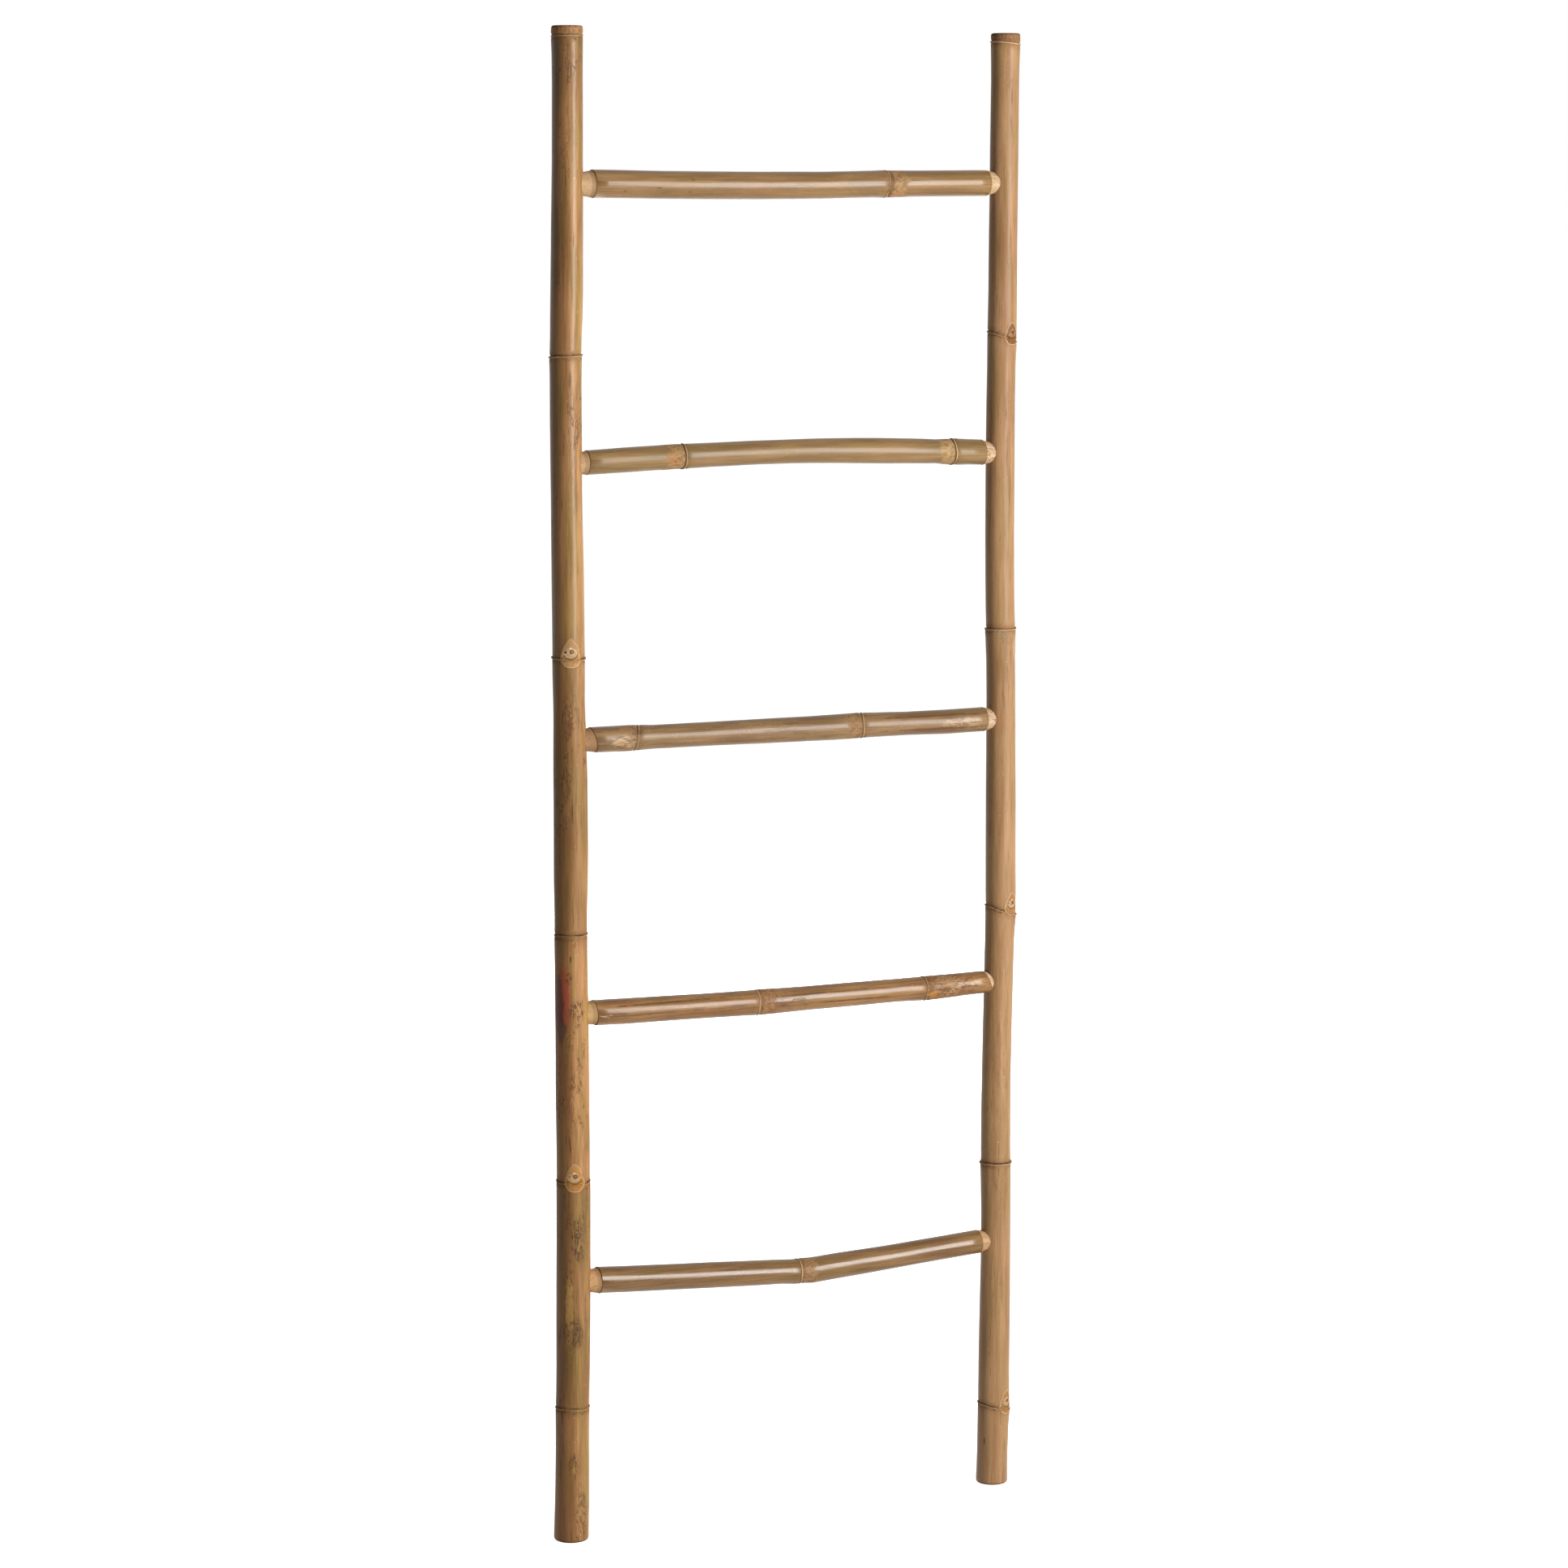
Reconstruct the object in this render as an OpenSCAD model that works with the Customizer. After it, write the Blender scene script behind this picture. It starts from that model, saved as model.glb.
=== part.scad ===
// Bamboo towel ladder: two upright culms joined by five whittled rungs.
// Millimetres, +Z up, standing on z = 0, rungs along X, front towards -Y.

/* [Ladder] */
// Distance between the axes of the two rails
rail_gap = 600; // [540:5:680]
// Height of the lowest rung above the floor
lowest_rung = 335; // [260:5:400]
// Distance from one rung to the next
rung_pitch = 344; // [310:1:380]
// Rail left standing above the top rung
top_reach = 189; // [140:1:280]

/* [Rails] */
// Middling diameter of the rails at the foot
foot_d = 42.8; // [38:0.2:50]
// Middling diameter of the rails at the top
top_d = 37.2; // [34:0.2:42]
// Thickness of a rail's wall
rail_wall = 7; // [5:0.5:9]
// Rail left above its top knot
top_cut = 12; // [8:1:24]
// Bevel sanded around the sawn ends
saw_bevel = 3; // [1:0.25:4]

/* [Knots] */
// Half the length of the swelling at a knot
knot_half = 15; // [12:0.5:18]
// Width of the sharp ring that the fallen leaf sheath left
ring_w = 1.6; // [1:0.2:2.4]
// Thickness of the partition inside a knot
partition = 5; // [3:0.5:8]
// Radius of the flat, rounded bud that sits over a ring
bud_r = 5; // [4:0.5:7]
// How far a bud stands proud of the skin
bud_proud = 1.8; // [1.2:0.1:2.4]

/* [Rungs] */
// Middling diameter of the rungs
rung_d = 32.2; // [30.5:0.1:35]
// Thickness of a rung's wall
rung_wall = 6.5; // [5.5:0.5:8]

/* [Joints] */
// Slope of the whittled rung ends, in degrees
taper = 11; // [9:0.5:14]
// Diameter of the straight tenon that follows the slope
tenon_d = 26.5; // [25:0.25:28]
// How far a tenon reaches past the rail's axis
tenon_past = 4; // [0:0.5:6]
// Gap all round a rung end in its hole
fit_gap = 0.2; // [0.1:0.05:0.4]

/* [Nails] */
// Diameter of a nail
nail_d = 1.8; // [1.4:0.1:2.4]
// Length of a nail from under its head to its point
nail_length = 30; // [24:1:33]
// Diameter of a nail's head
nail_head_d = 4; // [3:0.1:5]
// Thickness of a nail's head
nail_head_t = 0.9; // [0.6:0.1:1.2]
// Depth of a nail's seat below the back of the rail
nail_sink = 1.6; // [1.3:0.1:2.5]
// Distance of a nail from the rail's axis, towards the rung
nail_in = 4; // [3:0.5:5]

/* [Hidden] */
$fn = 64;

rung_count = 5;
rail_length = lowest_rung + (rung_count - 1) * rung_pitch + top_reach;

LEFT = 0;
RIGHT = 1;
// A culm is grown, not made, so each one has a short table of its own. Row of a knot: place along
// the culm, sideways bend, how far the ring stands proud of the skin, and the side that its bud is
// on, in degrees from the front towards the right. Buds take turns on opposite sides of a culm.
rail_knots = [
    [
        [174, -0.3, 1.2, 168], [467, 2, 0.9, -13], [782, 0, 1, 170],
        [1129, -1.6, 1.6, -10], [1501, -4.1, 1.7, 172]
    ],
    [
        [105, 1.2, 1.6, 30], [435, 0.4, 2.1, -158], [772, 4.1, 1.9, 21],
        [1141, -0.2, 2.1, -162], [1517, -2.3, 1.3, 17]
    ],
];
// Sideways bend at the foot and at the top cut, and the ring and bud under the top cut.
rail_foot_bend = [-2.4, -0.8];
rail_top_bend = [-0.4, -1.3];
rail_top_ring = [1, 1.6];
rail_top_bud = [-12, -165];
// How much thicker than the middling culm each rail is, at the foot and at the top.
rail_extra = [[1.4, 0.8], [-1, -0.8]];

// Rungs from the top down. Places are measured from the ladder's middle, bend is upwards, and a
// bud's side is in degrees from the back over the top, so that 180 is the front.
rung_knots = [
    [[130, -2, 0.8, 150]],
    [[-150, 8.2, 1, 190], [224, 5.6, 1.2, 30]],
    [[-220, 1.1, 0.8, 200], [96, 1, 1, 20]],
    [[-28, -4.1, 1, 40], [194, -4, 1, 215]],
    [[24, -19.2, 1, 60]],
];
// Bend of each rung where it meets the axes of the left and the right rail.
rung_end_bend = [[-1.4, 0.9], [1.3, 0.9], [1.4, 0.4], [0.7, -1.8], [0.6, -4.3]];
// How much thicker than the middling rung each one is, at its left and right end.
rung_extra = [[2.4, 0.4], [-1.8, 0.6], [-1.2, -0.8], [0.6, -1.8], [1.8, -1.2]];
// Distance from the rail's axis at which the skin of each rung stops, left and right.
rung_skin_stop = [[34, 26], [27, 29], [31, 25], [30, 23], [37, 24]];

// Shortest stretch that is left between two knots, and between a knot and a whittled end.
least_stretch = 40;
end_stretch = 16;
// How far a tube runs on into a knot, measured from the knot's middle.
tube_gap = 3;
// How far the solids that cut an end reach out past the culm: as far as the thickest culm does.
reach = foot_d / 2;
// Depth of the swelling's edge under the skin, and the share of the ring that the swelling reaches.
knot_root = 1.2;
knot_share = 0.6;
// Steps of the swelling on each side of the ring.
knot_steps = 4;
// Height of a bud's middle over its ring, its depth under the skin, and the steps of its dome.
bud_rise = 5.6;
bud_root = 2.3;
bud_steps = 3;

bamboo_brown = [0.62, 0.45, 0.28];
bamboo_tan = [0.74, 0.57, 0.38];
bamboo_olive = [0.67, 0.53, 0.33];
steel_grey = [0.5, 0.5, 0.52];

function between(a, b, t) = a + (b - a) * t;
function side_sign(side) = side == LEFT ? -1 : 1;

// Knots of a rail from foot to top, with its two ends.
function rail_path(side) = concat(
    [[0, rail_foot_bend[side], 0]],
    [for (k = rail_knots[side]) if (k[0] < rail_length - top_cut - least_stretch) k],
    [
        [rail_length - top_cut, rail_top_bend[side], rail_top_ring[side], rail_top_bud[side]],
        [rail_length, rail_top_bend[side], 0]
    ]
);
function rail_ends_d(side) = [foot_d + rail_extra[side][0], top_d + rail_extra[side][1]];
function rail_r(side, z) = between(rail_ends_d(side)[0], rail_ends_d(side)[1], z / rail_length) / 2;
// Distance of a rail's axis from the ladder's middle at a height.
function rail_x(side, z) =
    side_sign(side) * rail_gap / 2 + lookup(z, [for (row = rail_path(side)) [row[0], row[1]]]);

function rung_z(n) = lowest_rung + (rung_count - n) * rung_pitch;
function rung_end_z(n, side) = rung_z(n) + rung_end_bend[n - 1][side];
function rung_end_x(n, side) = rail_x(side, rung_end_z(n, side));
function rung_skin_x(n, side) = rung_end_x(n, side) - side_sign(side) * rung_skin_stop[n - 1][side];
// Knots of a rung that its whittled ends leave standing, with its two ends on the rails' axes.
function rung_path(n) = concat(
    [[rung_end_x(n, LEFT), rung_end_bend[n - 1][LEFT], 0]],
    [for (k = rung_knots[n - 1])
        if (k[0] > rung_skin_x(n, LEFT) + end_stretch && k[0] < rung_skin_x(n, RIGHT) - end_stretch) k],
    [[rung_end_x(n, RIGHT), rung_end_bend[n - 1][RIGHT], 0]]
);
function rung_ends_d(n) = [rung_d + rung_extra[n - 1][LEFT], rung_d + rung_extra[n - 1][RIGHT]];
// Radius of a rung where its skin stops, close enough to the end's own.
function rung_end_r(n, side) = rung_ends_d(n)[side] / 2;

// Lean of the stretch that starts at row i of a path.
function lean(path, i) = atan2(path[i + 1][1] - path[i][1], path[i + 1][0] - path[i][0]);
function stretch_length(path, i) =
    norm([path[i + 1][0] - path[i][0], path[i + 1][1] - path[i][1]]);
function culm_r(path, ends_d, s) =
    between(ends_d[0], ends_d[1], (s - path[0][0]) / (path[len(path) - 1][0] - path[0][0])) / 2;

// Puts its children at row i of a path, with local Z along the stretch that leans by the angle.
module at_row(path, i, angle) {
    translate([path[i][1], 0, path[i][0]])
        rotate([0, angle, 0])
            children();
}

// A round bar along Z from z0 to z1, tapered evenly from r0 at 0 to r1 at the given length.
module bar(length, z0, z1, r0, r1) {
    translate([0, 0, z0])
        cylinder(h = z1 - z0, r1 = between(r0, r1, z0 / length), r2 = between(r0, r1, z1 / length));
}

// The rounded bud of a knot, on the side that the angle gives.
module bud(r, side_angle) {
    dome = [for (k = [bud_steps:-1:0]) let (t = k / bud_steps) [t * bud_r, bud_proud * (1 - t * t)]];
    rotate([0, 0, side_angle])
        translate([0, -r, bud_rise])
            rotate([90, 0, 0])
                rotate_extrude()
                    polygon(concat([[0, -bud_root], [bud_r, -bud_root]], dome));
}

// The swelling, ring and partition of one knot, in the culm's local frame.
module knot_body(r, proud) {
    edge = r - knot_root;
    rise = knot_root + proud * knot_share;
    low = [for (k = [0:knot_steps]) -1 + k / knot_steps * (1 - ring_w / knot_half)];
    high = [for (k = [knot_steps:-1:0]) 1 - k / knot_steps * (1 - ring_w / knot_half)];
    flank = function(t) [edge + rise * (1 - t * t), t * knot_half];
    rotate_extrude()
        polygon(concat(
            [[0, -knot_half]],
            [for (t = low) flank(t)],
            [[r + proud, -ring_w / 2], [r + proud, ring_w / 2]],
            [for (t = high) flank(t)],
            [[0, knot_half]]
        ));
}

// A hollow culm along Z that follows its path, with a partition in every knot.
module culm(path, ends_d, wall) {
    last = len(path) - 2;
    r = [for (row = path) culm_r(path, ends_d, row[0])];
    difference() {
        union() {
            for (i = [0:last]) {
                run = stretch_length(path, i);
                z0 = i == 0 ? -reach : tube_gap;
                z1 = i == last ? run + reach : run - tube_gap;
                at_row(path, i, lean(path, i))
                    bar(run, z0, z1, r[i], r[i + 1]);
            }
            for (i = [1:1:last])
                at_row(path, i, (lean(path, i - 1) + lean(path, i)) / 2) {
                    knot_body(r[i], path[i][2]);
                    bud(r[i], path[i][3]);
                }
        }
        for (i = [0:last]) {
            run = stretch_length(path, i);
            z0 = i == 0 ? -2 * reach : partition / 2;
            z1 = i == last ? run + 2 * reach : run - partition / 2;
            at_row(path, i, lean(path, i))
                bar(run, z0, z1, r[i] - wall, r[i + 1] - wall);
        }
    }
}

// All that a saw cut at z = 0 takes away, with the bevel round the edge that stays above it.
module saw_cut(r) {
    rotate_extrude()
        polygon([
            [0, -3 * reach], [r + reach, -3 * reach], [r + reach, reach + saw_bevel],
            [r - saw_bevel, 0], [0, 0]
        ]);
}

// Places its children at a rung's end: local Z runs from the rail's axis into the rung.
module at_rung_end(n, side) {
    path = rung_path(n);
    row = side == LEFT ? 0 : len(path) - 1;
    slope = lean(path, side == LEFT ? 0 : len(path) - 2);
    translate([path[row][0], 0, rung_z(n) + path[row][1]])
        rotate([0, -side_sign(side) * 90 - slope, 0])
            children();
}

// Outline of a whittled end from its tip outwards: tenon, slope, and on past the skin.
function end_profile(n, side, gap) =
    let (
        stop = rung_skin_stop[n - 1][side],
        r_skin = rung_end_r(n, side),
        tenon_r = tenon_d / 2,
        slope_start = stop - (r_skin - tenon_r) / tan(taper),
        past = stop + reach
    ) [
        [tenon_r + gap, -tenon_past - gap],
        [tenon_r + gap, slope_start],
        [tenon_r + gap + (past - slope_start) * tan(taper), past]
    ];

// What the knife and the saw take off one end of a rung.
module whittling(n, side) {
    profile = end_profile(n, side, 0);
    out = rung_d + reach;
    rotate_extrude()
        polygon(concat(
            [[0, -4 * reach], [out, -4 * reach], [out, profile[2][1]]],
            [profile[2], profile[1], profile[0]],
            [[0, -tenon_past]]
        ));
}

// The hole that takes one end of a rung.
module rung_hole(n, side) {
    profile = end_profile(n, side, fit_gap);
    rotate_extrude()
        polygon(concat(
            [[0, profile[0][1]]],
            profile,
            [[0, profile[2][1]]]
        ));
}

// Places its children at a nail: local Z points out of the rail's back, from the head's seat.
module at_nail(n, side) {
    z = rung_end_z(n, side);
    translate([rung_end_x(n, side) - side_sign(side) * nail_in, rail_r(side, z) - nail_sink, z])
        rotate([-90, 0, 0])
            children();
}

module nail_hole() {
    translate([0, 0, -nail_length - 2 * fit_gap])
        cylinder(h = nail_length + 3 * fit_gap, d = nail_d + fit_gap, $fn = 32);
}

module nail_seat() {
    cylinder(h = reach, d = nail_head_d + 2 * fit_gap, $fn = 32);
}

module nail() {
    point = 1.5 * nail_d;
    translate([0, 0, point - nail_length])
        cylinder(h = nail_length - point, d = nail_d, $fn = 32);
    translate([0, 0, -nail_length])
        cylinder(h = point, d1 = nail_d / 6, d2 = nail_d, $fn = 32);
    cylinder(h = nail_head_t, d = nail_head_d, $fn = 32);
}

module rail(side) {
    difference() {
        translate([side_sign(side) * rail_gap / 2, 0, 0])
            culm(rail_path(side), rail_ends_d(side), rail_wall);
        translate([rail_x(side, 0), 0, 0])
            saw_cut(rail_r(side, 0));
        translate([rail_x(side, rail_length), 0, rail_length])
            mirror([0, 0, 1])
                saw_cut(rail_r(side, rail_length));
        for (n = [1:rung_count]) {
            at_rung_end(n, side)
                rung_hole(n, side);
            at_nail(n, side)
                nail_hole();
            at_nail(n, side)
                nail_seat();
        }
    }
}

module rung(n) {
    difference() {
        translate([0, 0, rung_z(n)])
            rotate(180, [1, 0, 1])
                culm(rung_path(n), rung_ends_d(n), rung_wall);
        for (side = [LEFT, RIGHT]) {
            at_rung_end(n, side)
                whittling(n, side);
            at_nail(n, side)
                nail_hole();
        }
    }
}

module left_rail() {
    color(bamboo_brown) rail(LEFT);
}

module right_rail() {
    color(bamboo_tan) rail(RIGHT);
}

module rung_1() {
    color(bamboo_olive) rung(1);
}

module rung_2() {
    color(bamboo_olive) rung(2);
}

module rung_3() {
    color(bamboo_olive) rung(3);
}

module rung_4() {
    color(bamboo_olive) rung(4);
}

module rung_5() {
    color(bamboo_olive) rung(5);
}

module joint_nails() {
    color(steel_grey)
        for (n = [1:rung_count])
            for (side = [LEFT, RIGHT])
                at_nail(n, side)
                    nail();
}

left_rail();
right_rail();
rung_1();
rung_2();
rung_3();
rung_4();
rung_5();
joint_nails();
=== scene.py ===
import math
import bpy
from mathutils import Matrix, Vector, noise


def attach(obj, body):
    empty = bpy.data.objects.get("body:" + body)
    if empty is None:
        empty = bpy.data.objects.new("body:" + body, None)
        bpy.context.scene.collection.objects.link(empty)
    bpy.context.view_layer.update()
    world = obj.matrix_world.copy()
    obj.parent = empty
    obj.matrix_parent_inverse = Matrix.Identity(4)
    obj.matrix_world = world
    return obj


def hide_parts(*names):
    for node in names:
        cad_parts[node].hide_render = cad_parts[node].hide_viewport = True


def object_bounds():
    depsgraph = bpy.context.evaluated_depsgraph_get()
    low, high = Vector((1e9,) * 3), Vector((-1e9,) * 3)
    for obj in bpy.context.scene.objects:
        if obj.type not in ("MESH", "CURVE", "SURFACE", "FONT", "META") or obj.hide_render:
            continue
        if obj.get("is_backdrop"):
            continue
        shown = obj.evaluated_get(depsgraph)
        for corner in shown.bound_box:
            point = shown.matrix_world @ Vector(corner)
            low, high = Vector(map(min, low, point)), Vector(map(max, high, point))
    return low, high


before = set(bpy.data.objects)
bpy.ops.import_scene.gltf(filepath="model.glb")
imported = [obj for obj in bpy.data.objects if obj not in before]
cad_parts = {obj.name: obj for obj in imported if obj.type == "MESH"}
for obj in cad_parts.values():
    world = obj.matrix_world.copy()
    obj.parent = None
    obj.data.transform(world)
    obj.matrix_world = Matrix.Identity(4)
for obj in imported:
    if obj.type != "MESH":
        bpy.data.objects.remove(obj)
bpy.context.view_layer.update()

# Left rail: the browner culm. It stands on its sawn foot and is closed by six knots. Each knot has a ring
# that the fallen leaf sheath left, and all but the top one a bud scar over it. The rail is bored from its inner side
# for the whittled rung ends, and from its back for the nails.
MM = 0.001
SIDES = 96
# Height of the mesh's rows near the knots and elsewhere, and how far along the culm a ring's slant is felt.
FINE_ROW, COARSE_ROW, RING_REACH = 2.4, 15, 26
RAIL_WALL = 7
TOP = 1900
# Each rail's axis stands this far from the ladder's middle, in metres.
RAIL_AXIS = 0.3
# Height, sway from the rail's straight line and diameter of the skin, read off between the knots.
left_skin = [
    (0, -2.5, 44.4), (22, -2.2, 44.1), (45, -1.5, 43.9), (80, -1.1, 43.1), (120, -0.8, 42.5), (158, -0.5, 42.9),
    (190, 0.0, 42.3), (225, 0.7, 42.7), (290, 1.2, 43.4), (390, 1.9, 43.1), (440, 2.0, 43.2),
    (490, 2.0, 42.1), (595, 1.3, 42.7), (655, 1.1, 42.2), (735, 0.2, 41.3), (762, 0.0, 41.6),
    (805, 0.0, 41.2), (850, 0.2, 42.2), (890, 0.5, 42.9), (985, 0.0, 42.3), (1044, -0.8, 40.2),
    (1075, -1.4, 39.5), (1105, -1.6, 40.4), (1150, -1.8, 40.3), (1240, -2.5, 40.2), (1290, -3.2, 39.4),
    (1334, -3.6, 39.0), (1420, -4.0, 39.6), (1466, -4.1, 39.3), (1489, -4.1, 40.1), (1525, -3.6, 39.1),
    (1545, -3.0, 39.9), (1580, -2.2, 40.3), (1650, -1.5, 39.5), (1690, -1.1, 39.0), (1740, -0.7, 38.1),
    (1830, -0.4, 37.7), (1866, -0.4, 38.2), (1878, -0.5, 38.7), (1894, -0.5, 38.7), (1900, -0.5, 38.4),
]


def paint(red, green, blue):
    """A colour as a screen shows it, 0 to 255, turned into the light that it stands for."""
    def light(c):
        c /= 255
        return c / 12.92 if c <= 0.04045 else ((c + 0.055) / 1.055) ** 2.4
    return light(red), light(green), light(blue), 1.0


# A knot: height, sway, diameter just under, of and just over the ring, how much higher the ring is on the
# right and at the back, its wave, how dark its line and how pale its ring is, and where a second line runs;
# then, for some, the width, share and colour of the rougher band over the ring.
left_knots = [
    (174, -0.3, 43.1, 44.5, 42.2, 0.6, 0.5, 0.8, 0.7, 0.4, -3.6),
    (467, 2.0, 43.3, 44.5, 42.0, 0.6, 2.2, 0.4, 0.9, 0.3, -6.0),
    (782, 0.0, 41.8, 43.5, 41.1, 1.3, 0.6, 0.8, 0.85, 0.3, -5.2),
    (1129, -1.7, 40.6, 43.8, 40.2, 0.2, 2.2, 0.5, 0.9, 0.6, -2.6),
    (1501, -4.1, 40.3, 42.9, 39.0, 1.6, 0.3, 0.6, 0.9, 0.6, -3.4),
    (1888, -0.5, 38.9, 39.9, 38.9, 0.8, 0.2, 0.3, 0.45, 0.4, -2.2, 13, 0.8, paint(168, 122, 82)),
]
# A bud scar: height of its foot, side in degrees from the front to the right, size, how orange it is, how deep its
# pit is and, for some, its tint.
left_buds = [
    (469, -17, 1.0, 0.9, 0.25), (1131, -13, 1.0, 0.25, 1.0),
    (174, 168, 0.8, 0.5, 0.3), (782, 170, 0.8, 0.5, 0.3), (1501, 172, 0.8, 0.5, 0.3),
]


def between(rows, height, column):
    """Reads a column of a table of rows at any height."""
    if height <= rows[0][0]:
        return rows[0][column]
    for low, high in zip(rows, rows[1:]):
        if height <= high[0]:
            t = (height - low[0]) / (high[0] - low[0])
            return low[column] + (high[column] - low[column]) * t
    return rows[-1][column]


def skin_rows(skin, knots, growth=1):
    """Rows of a culm from end to end, dense at the knots, with a sharp ring between two small grooves."""
    rows = []
    for height, sway, under, ring, over, *rest in knots:
        profile = [
            (-6.0, under), (-4.2, under), (-2.6, under + 0.1), (-1.7, under - 0.3), (-1.0, ring - 0.3), (-0.4, ring),
            (0.4, ring - 0.1), (1.0, over - 0.3), (1.9, over - 0.9), (3.2, over - 0.1), (4.6, over + 0.2),
            (6.4, over + 0.1),
        ]
        rows += [(height + growth * up, sway, width) for up, width in profile]
    clear = [row for row in skin if all(abs(row[0] - knot[0]) > 8 for knot in knots)]
    rows = sorted(clear + rows)
    full = [rows[0]]
    for row in rows[1:]:
        last = full[-1]
        middle = (row[0] + last[0]) / 2
        close = any(-20 < growth * (middle - knot[0]) < 30 for knot in knots)
        steps = max(1, round((row[0] - last[0]) / (FINE_ROW if close else COARSE_ROW)))
        for k in range(1, steps + 1):
            t = k / steps
            full.append(tuple(a + (b - a) * t for a, b in zip(last, row)))
    return full


def grow_culm(name, rows):
    """Grows a closed culm upright, ring by ring, from rows of height, sway and radius in millimetres."""
    bpy.ops.object.select_all(action="DESELECT")
    height, sway, r = rows[0]
    bpy.ops.mesh.primitive_circle_add(
        vertices=SIDES, radius=r * MM, fill_type="NGON", location=(sway * MM, 0, height * MM)
    )
    culm = bpy.context.object
    culm.name = culm.data.name = name
    bpy.ops.object.transform_apply(location=True, rotation=False, scale=False)
    bpy.ops.object.mode_set(mode="EDIT")
    bpy.ops.mesh.select_all(action="SELECT")
    for (h0, s0, r0), (h1, s1, r1) in zip(rows, rows[1:]):
        bpy.ops.mesh.extrude_region_move(
            TRANSFORM_OT_translate={"value": ((s1 - s0) * MM, 0, (h1 - h0) * MM)}
        )
        bpy.ops.transform.resize(value=(r1 / r0, r1 / r0, 1), center_override=(s1 * MM, 0, h1 * MM))
    bpy.ops.mesh.select_all(action="SELECT")
    bpy.ops.mesh.normals_make_consistent(inside=False)
    bpy.ops.object.mode_set(mode="OBJECT")
    return culm


def ease(t):
    t = min(max(t, 0.0), 1.0)
    return t * t * (3 - 2 * t)


def swell(x, width):
    return math.exp(-((x / width) ** 2))


def shape_skin(culm, skin, knots, buds, growth=1, seed=0.0):
    """Gives the round skin its small unevenness, each knot its tilted, wavy ring, and the buds their relief."""
    for vertex in culm.data.vertices:
        x, y, z = (c / MM for c in vertex.co)
        sway = between(skin, z, 1)
        r_skin = between(skin, z, 2) / 2
        x -= sway
        r = math.hypot(x, y)
        if r < r_skin - 1.0:
            continue
        cos_a, sin_a = x / r, y / r
        clear_of_ends = ease(min(z - skin[0][0], skin[-1][0] - z) / 11)
        out = 0.20 * noise.noise(Vector((cos_a * 0.9 + seed, sin_a * 0.9, z / 70)))
        out += 0.10 * noise.noise(Vector((cos_a * 4 + seed, sin_a * 4, z / 30)))
        up = 0.0
        for height, _, under, ring, over, tilt_x, tilt_y, wave, *_ in knots:
            h = abs(z - height)
            if h < RING_REACH:
                lift = tilt_x * cos_a + tilt_y * sin_a + wave * 2 * cos_a * sin_a
                up += growth * ease((RING_REACH - h) / 20) * lift
                out += 0.3 * ease((9 - h) / 9) * noise.noise(Vector((cos_a * 6 + seed, sin_a * 6, z / 4)))
                out -= 0.25 * ease((5 - h) / 3)
        for height, angle, size, orange, pit, *_ in buds:
            side_x, side_y = math.sin(math.radians(angle)), -math.cos(math.radians(angle))
            if abs(z - height) > 30 or cos_a * side_x + sin_a * side_y < 0.2:
                continue
            a = (x * -side_y + y * side_x) / size
            g = growth * (z - height) / size
            reach, power = (23, 1.5) if g > 0 else (13, 2.2)
            point = (abs(a) / 12.5) ** power + (abs(g) / reach) ** power
            out += size * (
                0.8 * ease(1.2 - point) + 0.2 * swell(point - 0.95, 0.2)
                - 0.8 * swell(math.hypot(a / 7.5, (g - 5) / 6.5), 0.75)
                + 0.8 * swell(math.hypot(a / 3, (g - 6.5) / 2.6), 0.8)
                - 0.9 * pit * swell(math.hypot((a + 7) / 1.6, (g - 6.3) / 1.6), 1.0)
            )
        out = min(out, 0.7) * clear_of_ends
        vertex.co.x += out * cos_a * MM
        vertex.co.y += out * sin_a * MM
        vertex.co.z += up * clear_of_ends * MM


def paint_ends(culm, skin, low=-1e9, high=1e9):
    """Faces under the skin's level, or past the places where it stops, show bare fibre: the second material."""
    for face in culm.data.polygons:
        x, y, z = (c / MM for c in face.center)
        r = math.hypot(x - between(skin, z, 1), y)
        bare = r < between(skin, z, 2) / 2 - 2.2 or z < low or z > high
        face.material_index = 1 if bare else 0


def rail_rows(skin, knots):
    """A rail from the partition over its foot, down the bore, up the skin, and down to its top partition."""
    foot_room = knots[0][0] - 3
    top_room = knots[-1][0] + 3
    bore_foot = between(skin, 0, 2) / 2 - RAIL_WALL
    bore_top = between(skin, TOP, 2) / 2 - RAIL_WALL
    foot_sway, top_sway = skin[0][1], skin[-1][1]
    inside_foot = [
        (foot_room + 3, knots[0][1], 1), (foot_room + 2, knots[0][1], bore_foot * 0.6),
        (foot_room - 2, knots[0][1], bore_foot), (foot_room * 0.5, between(skin, foot_room * 0.5, 1), bore_foot),
        (1, foot_sway, bore_foot), (0, foot_sway, bore_foot + 0.5),
    ]
    outside = [(h, s, d / 2) for h, s, d in skin_rows(skin, knots) if 4 < h < TOP - 3.5]
    r_foot, r_top = between(skin, 2, 2) / 2, between(skin, TOP - 1, 2) / 2
    sanded_foot = [(0, 3.0), (0.4, 1.8), (1.2, 0.8), (2.4, 0.2), (3.6, 0)]
    sanded_top = [(2.8, 0), (1.6, 0.3), (0.7, 0.9), (0.2, 1.7), (0, 2.8)]
    outside = [(up, foot_sway, r_foot - less) for up, less in sanded_foot] + outside
    outside += [(TOP - down, top_sway, r_top - less) for down, less in sanded_top]
    inside_top = [
        (TOP, top_sway, bore_top + 0.5), (TOP - 0.8, top_sway, bore_top), (top_room + 2, top_sway, bore_top),
        (top_room, top_sway, bore_top * 0.8), (top_room - 1, top_sway, bore_top * 0.4), (top_room - 1, top_sway, 1),
    ]
    return inside_foot + outside + inside_top


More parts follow.
